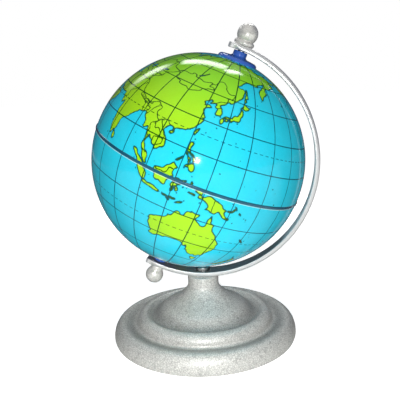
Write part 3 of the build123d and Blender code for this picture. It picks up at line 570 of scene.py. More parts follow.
class Finish:
    """One material, or the world's, built node by node."""

    def __init__(self, name, world=False):
        self.material = (bpy.data.worlds if world else bpy.data.materials).new(name)
        self.material.use_nodes = True
        self.tree = self.material.node_tree
        self.tree.nodes.clear()

    def node(self, kind, inputs=None, output=0, **settings):
        """A node of a type with its settings, then the values or links of its sockets."""
        made = self.tree.nodes.new(kind)
        for name, value in settings.items():
            setattr(made, name, value)
        for name, value in (inputs or {}).items():
            self.feed(made.inputs[name], value)
        return Value(self, made.outputs[output]) if made.outputs else None

    def feed(self, socket, value):
        """Link a value to a socket, or write a number or colour on it."""
        if isinstance(value, Value):
            self.tree.links.new(value.socket, socket)
        elif hasattr(socket.default_value, "__len__"):
            wanted = len(socket.default_value)
            socket.default_value = (*value, 1)[:wanted]
        else:
            socket.default_value = value

    def place(self, location=(0, 0, 0), rotation=(0, 0, 0)):
        """Object coordinates as seen from a place on the piece."""
        coordinates = self.node("ShaderNodeTexCoord", output="Object")
        return self.node("ShaderNodeMapping", {"Vector": coordinates, "Location": location,
                                               "Rotation": rotation}, vector_type="TEXTURE")

    def axes(self, vector):
        x = self.node("ShaderNodeSeparateXYZ", {0: vector})
        return x, x.output("Y"), x.output("Z")

    def along(self, vector, way):
        """How far a vector reaches along a direction."""
        return self.node("ShaderNodeVectorMath", {0: vector, 1: way}, output="Value",
                         operation="DOT_PRODUCT")

    def attribute(self, name):
        return self.node("ShaderNodeAttribute", output="Fac", attribute_name=name)

    def noise(self, vector, size, detail=2.0, roughness=0.5, distortion=0.0):
        """Cloudy noise from 0 to 1 with patches of a size in mm."""
        return self.node("ShaderNodeTexNoise", {
            "Vector": vector, "Scale": 1 / (size * MM), "Detail": detail, "Roughness": roughness,
            "Distortion": distortion})

    def cells(self, vector, size, feature):
        """Distance in cells of a size in mm."""
        return self.node("ShaderNodeTexVoronoi", {"Vector": vector, "Scale": 1 / (size * MM)},
                         output="Distance", feature=feature)

    def rise(self, value, start, end, low=0.0, high=1.0):
        """A smooth step from low to high."""
        return self.node("ShaderNodeMapRange", {"Value": value, "From Min": start, "From Max": end,
                                                "To Min": low, "To Max": high},
                         interpolation_type="SMOOTHSTEP")

    def stroke(self, distance, half_width, soft):
        """1 on a line and 0 beside it."""
        return self.rise(abs(distance), half_width - soft, half_width + soft, 1.0, 0.0)

    def mix(self, amount, first, second):
        return self.node("ShaderNodeMix", {0: amount, 6: first, 7: second}, output=2,
                         data_type="RGBA")

    def shaded(self, tone, brightness):
        """A colour made lighter or darker."""
        return self.node("ShaderNodeVectorMath", {0: tone, "Scale": brightness}, operation="SCALE")

    def bump(self, height, depth):
        """A normal from heights of 0 to 1 on a depth in mm."""
        return self.node("ShaderNodeBump", {"Height": height, "Distance": depth * MM,
                                            "Strength": 1.0})

    def done(self, **sockets):
        """Join the surface to the output. Words in a socket's name are joined with _ here."""
        inputs = {name.replace("_", " "): value for name, value in sockets.items()}
        self.shown(self.node("ShaderNodeBsdfPrincipled", inputs))
        return self.material

    def shown(self, surface, end="ShaderNodeOutputMaterial"):
        self.node(end, {"Surface": surface})

    def glowing(self, tone, strength):
        return self.node("ShaderNodeEmission", {"Color": tone, "Strength": strength})


def deselect():
    if bpy.context.object and bpy.context.object.mode != "OBJECT":
        bpy.ops.object.mode_set(mode="OBJECT")
    bpy.ops.object.select_all(action="DESELECT")


def pick(piece):
    """Select one object alone and make it the active one."""
    deselect()
    bpy.context.view_layer.objects.active = piece
    piece.select_set(True)


def settle(piece):
    """Put a selected object's place, turn and scale into its mesh."""
    bpy.ops.object.transform_apply(location=True, rotation=True, scale=True)
    return piece


def started(name):
    """Name the object that the last operator added, and settle its place in its mesh."""
    piece = bpy.context.object
    piece.name = piece.data.name = name
    return settle(piece)


def select(piece, kind, wanted):
    """Select the faces or edges of a piece, in edit mode, that pass a test."""
    bpy.ops.mesh.select_mode(type=kind)
    bpy.ops.mesh.select_all(action="DESELECT")
    mesh = bmesh.from_edit_mesh(piece.data)
    for part in mesh.faces if kind == "FACE" else mesh.edges:
        if wanted(part):
            part.select_set(True)
    bmesh.update_edit_mesh(piece.data)


def bevel(size, segments):
    """Round the selected edges to a size in mm."""
    bpy.ops.mesh.bevel(offset=size * MM, segments=segments, affect="EDGES", clamp_overlap=False)


def arc(centre, radius, start, end, steps, rise=None):
    """Points of a round in a half section, angles in degrees from the radius direction."""
    rise = radius if rise is None else rise
    angles = [math.radians(start + (end - start) * step / steps) for step in range(steps + 1)]
    return [(centre[0] + radius * math.cos(a), centre[1] + rise * math.sin(a)) for a in angles]


def flow(points, start, end, steps):
    """Points of a smooth run through knots, with its slope at both ends."""
    knots = [Vector(p) for p in points]
    slopes = [(b - a) / 2 for a, b in zip(knots, knots[2:])]
    slopes = [Vector(start) * (knots[1] - knots[0]).length, *slopes,
              Vector(end) * (knots[-1] - knots[-2]).length]
    run = [tuple(knots[0])]
    for a, b, u, v in zip(knots, knots[1:], slopes, slopes[1:]):
        for step in range(1, steps + 1):
            t = step / steps
            at = ((2 * t ** 3 - 3 * t ** 2 + 1) * a + (t ** 3 - 2 * t ** 2 + t) * u
                  + (3 * t ** 2 - 2 * t ** 3) * b + (t ** 3 - t ** 2) * v)
            run.append(tuple(at))
    return run


def joined(*runs):
    """One section from runs that meet end to end."""
    section = []
    for run in runs:
        for point in run:
            if not section or math.dist(point, section[-1]) > 1e-5:
                section.append(tuple(point))
    return section


def lathe(name, section, steps):
    """Draw a half section, (radius, height) in mm, point by point and spin it about Z."""
    deselect()
    bpy.ops.mesh.primitive_plane_add(size=MM)
    piece = started(name)
    bpy.ops.object.mode_set(mode="EDIT")
    bpy.ops.mesh.select_mode(type="VERT")
    bpy.ops.mesh.select_all(action="SELECT")
    bpy.ops.mesh.merge(type="CENTER")
    bpy.ops.transform.translate(value=(section[0][0] * MM, 0, section[0][1] * MM))
    for (r0, z0), (r1, z1) in zip(section, section[1:]):
        bpy.ops.mesh.extrude_region_move(
            TRANSFORM_OT_translate={"value": ((r1 - r0) * MM, 0, (z1 - z0) * MM)})
    bpy.ops.mesh.select_all(action="SELECT")
    bpy.ops.mesh.spin(steps=steps, angle=2 * math.pi, center=(0, 0, 0), axis=(0, 0, 1))
    closed(2e-6)
    bpy.ops.object.mode_set(mode="OBJECT")
    return piece


def closed(gap):
    """Join the points of a mesh that meet, in edit mode, and turn its faces outwards."""
    bpy.ops.mesh.select_all(action="SELECT")
    bpy.ops.mesh.remove_doubles(threshold=gap)
    bpy.ops.mesh.normals_make_consistent(inside=False)


def cut(piece, tool):
    """Cut a tool's shape out of a piece, and drop the tool."""
    pick(piece)
    cutter = piece.modifiers.new("cut", "BOOLEAN")
    cutter.object = tool
    cutter.operation = "DIFFERENCE"
    cutter.solver = "EXACT"
    bpy.ops.object.modifier_apply(modifier=cutter.name)
    bpy.data.objects.remove(tool)


def rod(radius, z0, z1, sides=64):
    """A round cutting tool along Z, in mm."""
    deselect()
    bpy.ops.mesh.primitive_cylinder_add(vertices=sides, radius=radius * MM, depth=(z1 - z0) * MM,
                                        location=(0, 0, (z0 + z1) / 2 * MM))
    return started("tool")


def tipped(piece, turn):
    """Turn a piece about X, in its mesh."""
    pick(piece)
    piece.rotation_euler.x = turn
    return settle(piece)


def on_axle(piece):
    """Tilt a piece that stands on Z onto the axle, at the ball's centre."""
    pick(piece)
    piece.rotation_euler = (0, TILT, 0)
    piece.location = CENTRE
    return settle(piece)


def dress(piece, finish, slot, body, *nodes, smooth=35):
    """Finish a piece: smooth shading, material, body and the CAD nodes it stands for. The slot argument is
    not used.
    """
    pick(piece)
    bpy.ops.object.shade_smooth_by_angle(angle=math.radians(smooth))
    piece.data.materials.clear()
    piece.data.materials.append(finish)
    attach(piece, body)
    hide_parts(*nodes)


def points_of(text):
    """Longitude and latitude of each point in a line of text."""
    return np.array([[float(v) for v in pair.split(",")] for pair in text.split()])


def rounded(points, ring, parts=5):
    """A flowing line through points, so that coasts have no straight runs."""
    if ring:
        points = np.vstack([points[-1:], points, points[:2]])
    else:
        points = np.vstack([2 * points[:1] - points[1:2], points, 2 * points[-1:] - points[-2:-1]])
    t = np.linspace(0, 1, parts, endpoint=False)[:, None]
    pieces = []
    for a, b, c, d in zip(points, points[1:], points[2:], points[3:]):
        pieces.append(0.5 * (2 * b + (c - a) * t + (2 * a - 5 * b + 4 * c - d) * t ** 2
                             + (3 * b - a - 3 * c + d) * t ** 3))
    if not ring:
        pieces.append(points[-2:-1])
    return np.vstack(pieces)


def on_ball(lon_lat, radius, turn):
    """Points in mm on an upright ball, from longitude and latitude."""
    lon, lat = np.radians(lon_lat[:, 0] - turn), np.radians(lon_lat[:, 1])
    return radius * np.stack([np.cos(lat) * np.sin(lon), -np.cos(lat) * np.cos(lon), np.sin(lat)], 1)


def runs_on_ball(lines, ring, radius, turn, spacing=0.12):
    """Close points along lines on the ball, and the direction of the line at each."""
    spots, ways = [], []
    for line in lines:
        if ring:
            line = np.vstack([line, line[:1]])
        at = on_ball(line, radius, turn)
        for a, b, p, q in zip(at, at[1:], line, line[1:]):
            # the far south's ring closes along the date line and the pole, where there is no coast
            if abs(p[0]) == 180 and abs(q[0]) == 180 or p[1] == q[1] == -90:
                continue
            reach = np.linalg.norm(b - a)
            steps = max(1, int(reach / spacing))
            spots.append(a + (b - a) * (np.arange(steps) / steps)[:, None])
            ways.append(np.tile((b - a) / max(reach, 1e-9), (steps, 1)))
    return np.vstack(spots), np.vstack(ways)


def nearest(spots, places):
    """Number of the nearest spot and its distance in mm, for each place."""
    tree = KDTree(len(spots))
    for number, spot in enumerate(spots):
        tree.insert(spot, number)
    tree.balance()
    numbers, distances = zip(*(tree.find(place)[1:] for place in places))
    return np.array(numbers), np.array(distances)


def on_land(rings, lon, lat):
    """True for places inside an odd number of rings."""
    order = np.argsort(lat)
    sorted_lat = lat[order]
    odd = np.zeros(len(lat), bool)
    for ring in rings:
        west = ring[:, 0].min()
        local = (lon[order] - west) % 360 + west
        for a, b in zip(ring, np.roll(ring, -1, 0)):
            low, high = sorted((a[1], b[1]))
            i, j = np.searchsorted(sorted_lat, (low, high))
            if i < j:
                cross = a[0] + (sorted_lat[i:j] - a[1]) / (b[1] - a[1]) * (b[0] - a[0])
                odd[order[i:j]] ^= cross > local[i:j]
    return odd


def wandered(co, ball):
    """Points of the ball in mm, shifted a little along it by two sizes of noise."""
    noise.seed_set(1)       # the same coasts each run
    wide, fine, fine_share = 2.6, 0.9, 0.65
    shift = np.array([noise.noise_vector(Vector(p) / wide)
                      + fine_share * noise.noise_vector(Vector(p) / fine) for p in co])
    co = co + shift * (ball.wander / MM)
    return co * (ball.radius / MM / np.linalg.norm(co, axis=1))[:, None]


def print_map(piece, ball):
    """Store how far each point of an upright half ball is from the coasts, borders and specks."""
    radius, turn = ball.radius / MM, math.degrees(ball.map_turn)
    co = np.empty(len(piece.data.vertices) * 3)
    piece.data.vertices.foreach_get("co", co)
    co = wandered(co.reshape(-1, 3) / MM, ball)
    lon = np.degrees(np.arctan2(co[:, 0], -co[:, 1])) + turn
    lat = np.degrees(np.arcsin(np.clip(co[:, 2] / radius, -1, 1)))

    rings = [points_of(text) for name, text in COASTS.items() if name != "antarctica"]
    rings = [rounded(ring, True) for ring in rings] + [points_of(COASTS["antarctica"])]
    spots, _ = runs_on_ball(rings, True, radius, turn)
    _, distance = nearest(spots, co)
    coast = np.where(on_land(rings, lon, lat), distance, -distance)

    lines = [rounded(points_of(text), False) for text in BORDERS.values()]
    spots, ways = runs_on_ball(lines, False, radius, turn)
    number, near = nearest(spots, co)
    side = np.einsum("ij,ij->i", np.cross(spots[number], ways[number]), co - spots[number])

    number, speck = nearest(on_ball(points_of(SPECKS), radius, turn), co)
    speck_radius = 0.28 + 0.16 * np.sin(number * 2.4)     # each speck has its own

    values = {"coast": coast, "border_side": np.sign(side) * near, "border_near": near,
              "speck": speck - speck_radius}
    for name, value in values.items():
        layer = piece.data.attributes.new(name, "FLOAT", "POINT")
        layer.data.foreach_set("value", value.astype(np.float32))


def grid_on(tin, x, y, z, ball):
    """The printed grid: meridians, parallels, and dashed tropics and polar circles."""
    to_degrees = 180 / math.pi
    degree = ball.radius / MM / to_degrees                      # mm for a degree of latitude
    lat = (z / ball.radius).maths("ARCSINE") * to_degrees
    lon = x.maths("ARCTAN2", y * -1) * to_degrees + math.degrees(ball.map_turn)
    lon_degree = x.hypot(y) / MM / to_degrees                   # mm for a degree of longitude
    step = math.degrees(ball.grid_step)
    half, circle_half = ball.grid_line / MM / 2, ball.circle_line / MM / 2
    meridian = tin.stroke(lon.off_nearest(step) * step * lon_degree, half, 0.09)
    parallel = tin.stroke(lat.off_nearest(step) * step * degree, half, 0.09)
    grid = meridian.most(parallel * tin.rise(abs(lat), 76.5, 77, 1, 0))
    dash = tin.rise(abs((lon / 3.6).maths("FRACT") - 0.5), 0.27, 0.31, 1, 0)
    for circle in (EARTH_TILT, 90 - EARTH_TILT):
        grid = grid.most(tin.stroke((abs(lat) - circle) * degree, circle_half, 0.08) * dash)
    return grid, lat


def printed_tin(ball, colours):
    """Printed and lacquered tin: sea, land, ink lines, grid, gloss lacquer."""
    tin = Finish("printed tin")
    place = tin.place(CENTRE, (0, TILT, 0))
    x, y, z = tin.axes(place)
    grid, lat = grid_on(tin, x, y, z, ball)
    grain = tin.noise(place, 0.5, 3, 0.6)
    uneven = grain - 0.5
    line_grain = tin.noise(place, 1.4, 2, 0.6)
    cloud = tin.noise(place, 9, 3, 0.55)
    blotch = tin.noise(place, 1.3, 2, 0.6)

    coast = tin.attribute("coast") + uneven * 0.16
    is_land = tin.rise(coast, -0.05, 0.05)
    is_sea = 1 - is_land
    shore = tin.stroke(coast, ball.coast_line / MM / 2 * (0.72 + line_grain * 0.56), 0.11)
    border = (tin.stroke(tin.attribute("border_side") + uneven * 0.14, ball.border_line / MM / 2, 0.09)
              * tin.rise(tin.attribute("border_near"), 0.5, 0.62, 1, 0))
    speck = tin.rise(tin.attribute("speck") + uneven * 0.3, -0.1, 0.12, 1, 0)
    ink = shore.most(border * is_land).most(speck * is_sea * 0.9)

    cool = tin.rise(lat + (cloud - 0.5) * 16, 22, 62)
    land = tin.mix(cool, colours.land_south, colours.land_north)
    land = tin.shaded(land, 0.93 + cloud * 0.12 + uneven * 0.12)
    sea = tin.mix(tin.rise(cloud, 0.35, 0.75), colours.sea, colours.sea_patches)
    sea = tin.shaded(sea, 0.95 + uneven * 0.14 + (blotch - 0.5) * 0.1)
    shallow = tin.rise(coast, -1.1, -0.2) * is_sea
    sea = tin.mix(shallow * 0.22, sea, colours.shallows)
    paint = tin.mix(is_land, sea, land)
    faint = tin.mix(is_land, colours.sea_grid, colours.land_grid)
    paint = tin.mix(grid * (0.66 + line_grain * 0.5 + is_land * 0.3), paint, faint)
    paint = tin.mix(ink * 0.95, paint, tin.mix(is_land, colours.sea_ink, colours.ink))
    lip = tin.stroke(z / MM + ball.bead / MM / 2 + 0.18, 0.13, 0.07)     # just below the bead
    paint = tin.mix(lip * 0.55, paint, colours.lip)
    return tin.done(Base_Color=paint, Roughness=0.5, Metallic=0.0,
                    Normal=tin.bump(tin.noise(place, 14, 2, 0.5), 0.05), Coat_Weight=1.0,
                    Coat_Roughness=0.11, Coat_IOR=1.42, Specular_IOR_Level=0.0)


def lacquer(name, tone, roughness, coat, speckle, haze=0.06):
    """Gloss paint or moulded plastic with faint mottling."""
    gloss = Finish(name)
    place = gloss.place()
    cloud = gloss.noise(place, 3.5, 3, 0.6)
    grain = gloss.noise(place, 0.35, 2, 0.5)
    paint = gloss.shaded(tone, 1 - speckle + cloud * speckle * 2)
    return gloss.done(Base_Color=paint, Roughness=roughness,
                      Normal=gloss.bump(cloud * 0.7 + grain * 0.3, 0.04),
                      Coat_Weight=coat, Coat_Roughness=haze, Coat_IOR=1.45)


def hammertone(name, tone, size=0.9, depth=0.045, dark=0.6, metal=0.32, roughness=0.5, shade_rings=()):
    """Silver hammer enamel: pooled cells with darker edges, flakes in the paint. A shade ring is painted
    shade, a ring of darker paint where a hollow of the piece lies in shade: its start, deepest radius and
    end in mm, and how dark it gets."""
    enamel = Finish(name)
    place = enamel.place()
    drift = enamel.noise(place, 2.4 * size, 3, 0.6, 0.8)
    cells = enamel.cells(place, size, "SMOOTH_F1")
    veins = enamel.cells(place, size * 1.1, "DISTANCE_TO_EDGE")
    flakes = enamel.noise(place, 0.28, 2, 0.7)
    pool = enamel.rise(veins, 0.0, 0.16)
    bright = (dark + (1 - dark) * pool) * (0.7 + drift * 0.6) * (0.74 + flakes * 0.52)
    if shade_rings:
        x, y, _ = enamel.axes(place)
        reach = x.hypot(y) / MM
    # painted shade: each ring darkens the paint towards its deepest radius, where the hollow would lie in
    # shade
    for start, deepest, end, share in shade_rings:
        ring = enamel.rise(reach, start, deepest) * enamel.rise(reach, end, deepest)
        bright = bright * (1 - ring * share)
    return enamel.done(Base_Color=enamel.shaded(tone, bright), Metallic=metal,
                       Roughness=roughness + (drift - 0.5) * 0.25 + (1 - pool) * 0.12,
                       Normal=enamel.bump(cells * -0.8 + drift * 0.5 + flakes * 0.16, depth),
                       Coat_Weight=0.25, Coat_Roughness=0.15)


def satin_enamel(name, tone, inside, inner_face):
    """Silver enamel on the arm, slightly uneven, with painted shade on the face towards the ball, lighter
    between two heights.
    """
    enamel = Finish(name)
    place = enamel.place(CENTRE)
    cloud = enamel.noise(place, 6, 3, 0.6)
    fine = enamel.noise(place, 0.5, 2, 0.6)
    rub = enamel.rise(cloud, 0.62, 0.8)
    x, _, z = enamel.axes(place)
    # painted shade: the face towards the ball is painted dark, as if in the ball's shadow
    shadow_painted = enamel.rise(x.hypot(z) / MM, inner_face + 0.08, inner_face + 0.2, 1, 0)
    # between these heights the painted shade is weaker, a painted light, and the face is less metallic
    painted_light_band = enamel.rise(z, -44 * MM, -34 * MM) * enamel.rise(z, 8 * MM, -4 * MM)
    paint = enamel.mix(rub * 0.25, tone, tuple(c * 0.75 for c in tone))
    paint = enamel.mix(shadow_painted * (0.8 - painted_light_band * 0.65), paint, inside)
    paint = enamel.shaded(paint, 0.97 + (fine - 0.5) * 0.08)
    return enamel.done(Base_Color=paint, Metallic=0.7 - shadow_painted * painted_light_band * 0.65,
                       Roughness=0.34 + fine * 0.1,
                       Normal=enamel.bump(cloud * 0.6 + fine * 0.4, 0.05),
                       Coat_Weight=0.1, Coat_Roughness=0.2)


def plated(name, tone, patches=3.0):
    """Plated steel with faint turning marks and dulled patches of a size in mm."""
    metal = Finish(name)
    place = metal.place()
    marks = metal.noise(place, 0.3, 2, 0.7)
    cloud = metal.noise(place, patches, 2, 0.6)
    paint = metal.shaded(tone, 0.8 + cloud * 0.3 + (marks - 0.5) * 0.15)
    return metal.done(Base_Color=paint, Metallic=1.0, Roughness=0.2 + cloud * 0.2,
                      Normal=metal.bump(marks, 0.02))


def felt_cloth(name, tone):
    """Pressed felt: short tangled fibres."""
    felt = Finish(name)
    place = felt.place()
    fibres = felt.noise(place, 0.25, 4, 0.8, 2.0)
    tufts = felt.noise(place, 2.0, 3, 0.7)
    paint = felt.mix(fibres, tone, tuple(min(1, c * 3 + 0.01) for c in tone))
    return felt.done(Base_Color=felt.shaded(paint, 0.7 + tufts * 0.6), Roughness=0.95,
                     Normal=felt.bump(fibres * 0.7 + tufts * 0.3, 0.2), Sheen_Weight=0.4,
                     Sheen_Roughness=0.5)


class GLOBE_OT_printed_halves(bpy.types.Operator):
    """Model the two pressed halves of the ball, with the map stored on their points"""
    bl_idname = "globe.printed_halves"
    bl_label = "Printed halves"

    def execute(self, context):
        ball = context.scene.globe_ball
        tin = printed_tin(ball, context.scene.globe_finishes)
        for side, pole in ((1, "north"), (-1, "south")):
            half = self.half("printed_" + pole, ball, side)
            print_map(half, ball)
            dress(on_axle(half), tin, "printed_map", "globe", pole + "_hemisphere", smooth=30)
        return {"FINISHED"}

    def half(self, name, ball, side):
        """Half of the tin ball, open at the seam and at the pole hole, with its inner wall."""
        outside, wall = ball.radius / MM, (ball.radius - ball.tin) / MM
        seam, hole = math.degrees(0.2 * MM / ball.radius), ball.hole / MM
        section = joined(arc((0, 0), outside, seam, math.degrees(math.acos(hole / outside)), 145),
                         arc((0, 0), wall, math.degrees(math.acos(hole / wall)), seam, 12))
        section = [(r, z * side) for r, z in section]
        return lathe(name, section + section[:1], ball.around)


class GLOBE_OT_seam_bead(bpy.types.Operator):
    """Model the bead that covers the seam round the ball's equator"""
    bl_idname = "globe.seam_bead"
    bl_label = "Seam bead"

    def execute(self, context):
        ball = context.scene.globe_ball
        r, half, rise, sunk = ball.radius / MM, ball.bead / MM / 2, ball.bead_rise / MM, 0.12
        section = arc((r - sunk, 0), rise + sunk, -90, 90, 12, half)
        section = joined(section, [(r - 0.45, half * 0.5), (r - 0.6, 0), (r - 0.45, -half * 0.5)],
                         section[:1])
        enamel = lacquer("seam enamel", context.scene.globe_finishes.bead, 0.25, 0.8, 0.2)
        dress(on_axle(lathe("seam_bead", section, 360)), enamel, "seam_bead", "globe", "seam_ring",
              smooth=50)
        return {"FINISHED"}


class GLOBE_OT_pole_bushes(bpy.types.Operator):
    """Model the flanged blue bush in each pole"""
    bl_idname = "globe.pole_bushes"
    bl_label = "Pole bushes"

    def execute(self, context):
        r = context.scene.globe_ball.radius / MM
        bore, thick, neck, flange = 1.8, 1.4, 3.4, 9.75
        outer, top, bottom = r + thick, r + 4.5 - 0.4, r - 5

        def at(sphere, radius):
            return (radius, math.sqrt(sphere ** 2 - radius ** 2))

        dome = [at(outer, radius) for radius in (4.6, 5.2, 6.0, 6.8, 7.6, 8.3)]
        edge = flow([at(outer, 8.3), at(outer - 0.25, 9.1), at(outer - 0.75, 9.6), at(r, flange)],
                    (0.95, -0.25), (0.1, -1), 3)
        foot = flow([(neck, outer + 0.75), (neck + 0.25, outer + 0.2), at(outer, 4.6)],
                    (0, -1), (1, -0.1), 3)
        section = joined(
            [(bore, bottom), (bore, top), (neck - 0.35, top), (neck - 0.1, top - 0.1),
             (neck, top - 0.35)],
            foot, dome, edge,
            [at(r, 8.0), at(r, 6.0), at(r, 4.0), (4.0, bottom), (bore, bottom)])
        blue = lacquer("blue bush plastic", context.scene.globe_finishes.bush, 0.24, 0.45, 0.12, 0.16)
        north = lathe("north_bush", section, 96)
        pick(north)
        bpy.ops.object.duplicate(linked=False)
        south = tipped(started("south_bush"), math.pi)
        dress(on_axle(north), blue, "collar_blue", "globe", "north_collar")
        dress(on_axle(south), blue, "collar_blue", "globe", "south_collar")
        return {"FINISHED"}


class GLOBE_OT_bent_arm(bpy.types.Operator):
    """Model the flat bar that is bent round the ball, with rounded ends and edges"""
    bl_idname = "globe.bent_arm"
    bl_label = "Bent arm"

    def execute(self, context):
        stand, colours = context.scene.globe_stand, context.scene.globe_finishes
        inner = stand.arm_radius - stand.arm_thickness
        middle = stand.arm_radius - stand.arm_thickness / 2
        deselect()
        bpy.ops.mesh.primitive_plane_add(size=1, rotation=(0, math.pi / 2, 0), location=(0, 0, middle))
        bar = bpy.context.object
        bar.scale = (stand.arm_thickness, stand.arm_width, 1)
        started("bent_arm")
        reach = stand.arm_overhang / middle
        bpy.ops.object.mode_set(mode="EDIT")
        bpy.ops.mesh.select_all(action="SELECT")
        bpy.ops.mesh.spin(steps=160, angle=math.pi, center=(0, 0, 0), axis=(0, -1, 0))
        for end in (1, -1):
            select(bar, "FACE", lambda face: self.at_end(face, end, middle))
            bpy.ops.mesh.spin(steps=1, angle=reach, center=(0, 0, 0), axis=(0, -end, 0))
        closed(1e-6)
        tip = math.sin(reach) * middle * 0.8
        select(bar, "EDGE", lambda edge: all(v.co.x < -tip for v in edge.verts)
               and abs(edge.verts[0].co.y - edge.verts[1].co.y) < 1e-6)
        bevel(1.6, 6)
        for radius, size in ((stand.arm_radius, 1.35), (inner, 0.5)):
            select(bar, "EDGE", lambda edge: self.on_rim(edge, radius))
            bevel(size, 5)
        bpy.ops.object.mode_set(mode="OBJECT")
        cut(bar, rod(1.6, -70, 70, 48))             # holes for the axle
        on_axle(bar)
        cut(bar, rod(2.1, 30, 40, 48))              # hole and seat of the screw
        cut(bar, rod(4.3, 35.5, 40, 64))
        enamel = satin_enamel("arm enamel", colours.arm, colours.arm_painted_shade, inner / MM)
        dress(bar, enamel, "arm_enamel", "stand", "meridian_arm")
        return {"FINISHED"}

    def at_end(self, face, end, middle):
        """True for the flat face that closes the half circle at one end."""
        at = face.calc_center_median()
        return abs(face.normal.x) > 0.99 and at.z * end < -middle / 2 and abs(at.x) < 0.01 * MM

    def on_rim(self, edge, radius):
        """True for the sharp edges that lie at a distance from the arm's centre."""
        ends = [math.hypot(vertex.co.x, vertex.co.z) for vertex in edge.verts]
        return (max(abs(end - radius) for end in ends) < 0.02 * MM and len(edge.link_faces) == 2
                and edge.calc_face_angle() > math.radians(50))


class GLOBE_OT_finials(bpy.types.Operator):
    """Model the two ball nuts on the ends of the axle"""
    bl_idname = "globe.finials"
    bl_label = "Finials"

    def execute(self, context):
        stand = context.scene.globe_stand
        arm = stand.arm_radius / MM
        silver = hammertone("finial hammertone", context.scene.globe_finishes.finial,
                            0.8, 0.04, 0.82, 0.5, 0.32)

        neck = 3.95
        ball, start = self.ball(stand.top_ball / MM, arm + 5.6, neck)
        section = joined(
            [(0, arm), (3.0, arm), (4.3, arm)],
            arc((neck, arm + 1.2), 1.05, -80, 80, 10, 1.2),
            flow([(neck + 0.18, arm + 2.38), (neck, arm + 2.46), (neck, start)], (-1, 0.1), (0.2, 1), 3),
            ball)
        top = self.cast("top_knob", section)
        dress(on_axle(top), silver, "finial_enamel", "stand", "top_finial", smooth=60)

        neck = 3.3
        ball, start = self.ball(stand.bottom_ball / MM, arm + 5.9, neck)
        section = joined(
            [(0, arm), (3.0, arm), (neck, arm + 0.25), (neck, arm + 1.2), (neck - 0.03, start - 0.2)],
            ball)
        bottom = tipped(self.cast("bottom_knob", section), math.pi)
        dress(on_axle(bottom), silver, "finial_enamel", "stand", "bottom_finial", smooth=60)
        return {"FINISHED"}

    def ball(self, radius, centre, neck):
        """Half section of a ball on a neck, and the height where it starts."""
        waist = math.asin(neck / radius)
        return (arc((0, centre), radius, math.degrees(waist) - 90, 90, 28),
                centre - radius * math.cos(waist))

    def cast(self, name, section):
        """A turned knob whose thick paint has left it slightly uneven."""
        knob = lathe(name, section, 72)
        clouds = bpy.data.textures.new("paint runs", "CLOUDS")
        clouds.noise_scale = 1.6 * MM
        run = knob.modifiers.new("paint runs", "DISPLACE")
        run.texture = clouds
        run.texture_coords = "LOCAL"
        run.strength = 0.16 * MM
        run.mid_level = 0.75
        bpy.ops.object.modifier_apply(modifier=run.name)
        return knob


class GLOBE_OT_cast_base(bpy.types.Operator):
    """Model the hollow base: rounded rim, raised step, skirt and neck"""
    bl_idname = "globe.cast_base"
    bl_label = "Cast base"

    FLAT, WIDEST, RIM_TOP = 43, 2.5, 9.9                # radius of the rim's flat top, and heights
    HOLLOW, HOLLOW_ROUND = 36.6, 1.2                    # between the rim and the step
    STEP, STEP_ROUND, STEP_MIDDLE = 31, 4.4, 9.8
    VALLEY = (27.4, 12.5)                               # between the step and the skirt
    NECK, NECK_TOP, BORE, BORE_END = 8, 35, 2.1, 20.5
    RECESS, EDGE, FELT_TOP, CEILING = 45.1, 0.3, 1.0, 15.5
    WALL = 2.0

    def execute(self, context):
        stand = context.scene.globe_stand
        base = lathe("cast_base", joined(self.inside(), self.outside()), stand.base_steps)
        saddle = tipped(rod(stand.arm_radius / MM, -30, 30, 720), math.pi / 2)
        saddle.location = CENTRE
        cut(base, saddle)
        bpy.ops.object.mode_set(mode="EDIT")
        select(base, "EDGE", self.on_saddle)
        bevel(0.35, 3)
        bpy.ops.object.mode_set(mode="OBJECT")
        # the base's enamel gets painted shade in the valley round the skirt and in the hollow between the
        # step and the rim
        enamel = hammertone("base hammertone", context.scene.globe_finishes.base,
                            shade_rings=((20, 26.5, 31, 0.42), (34.5, 39, 44, 0.38)))
        dress(base, enamel, "base_enamel", "stand", "base_shell", smooth=40)
        return {"FINISHED"}

    def roof(self, down):
        """From the rim's top over the raised step to the valley, at a depth under the outside."""
        step_top = self.STEP_MIDDLE + self.STEP_ROUND
        return joined(
            flow([(self.FLAT, self.RIM_TOP - down),
                  (self.HOLLOW, self.STEP_MIDDLE - self.HOLLOW_ROUND - down)], (-1, 0), (-1, 0), 8),
            arc((self.HOLLOW, self.STEP_MIDDLE), self.HOLLOW_ROUND + down, 270, 180, 5),
            arc((self.STEP, self.STEP_MIDDLE), self.STEP_ROUND - down, 0, 90, 12),
            flow([(self.STEP, step_top - down), (self.VALLEY[0], self.VALLEY[1] - down)],
                 (-1, 0), (-1, 0), 8))

    def outside(self):
        return joined(
            [(self.RECESS, self.FELT_TOP), (self.RECESS, self.EDGE), (47, self.EDGE)],
            flow([(47, self.EDGE), (47.62, 0.75), (self.FLAT + 5, self.WIDEST)], (1, 0), (0, 1), 4),
            arc((self.FLAT, self.WIDEST), 5, 0, 90, 16, self.RIM_TOP - self.WIDEST),
            self.roof(0),
            flow([self.VALLEY, (21, 17.5), (15.2, 20.7), (10.9, 23.9), (self.NECK, 28.5)],
                 (-1, 0.05), (0, 1), 7),
            [(self.NECK, 30.5), (self.NECK, self.NECK_TOP), (self.BORE, self.NECK_TOP),
             (self.BORE, self.BORE_END), (0, self.BORE_END)])

    def inside(self):
        return joined(
            [(0, self.CEILING), (15, self.CEILING)],
            flow([(19, self.CEILING), (self.VALLEY[0], self.VALLEY[1] - self.WALL)], (1, 0), (1, 0), 6),
            self.roof(self.WALL)[::-1],
            [(self.FLAT, 1.2), (self.RECESS, 1.2), (self.RECESS, self.FELT_TOP)])

    def on_saddle(self, edge):
        """True for the edges where the saddle meets the outside of the neck."""
        a, b = (vertex.co for vertex in edge.verts)
        return (min(a.z, b.z) > 32.9 * MM and min(a.xy.length, b.xy.length) > 7.9 * MM
                and abs(a.z - b.z) < 0.2 * MM)


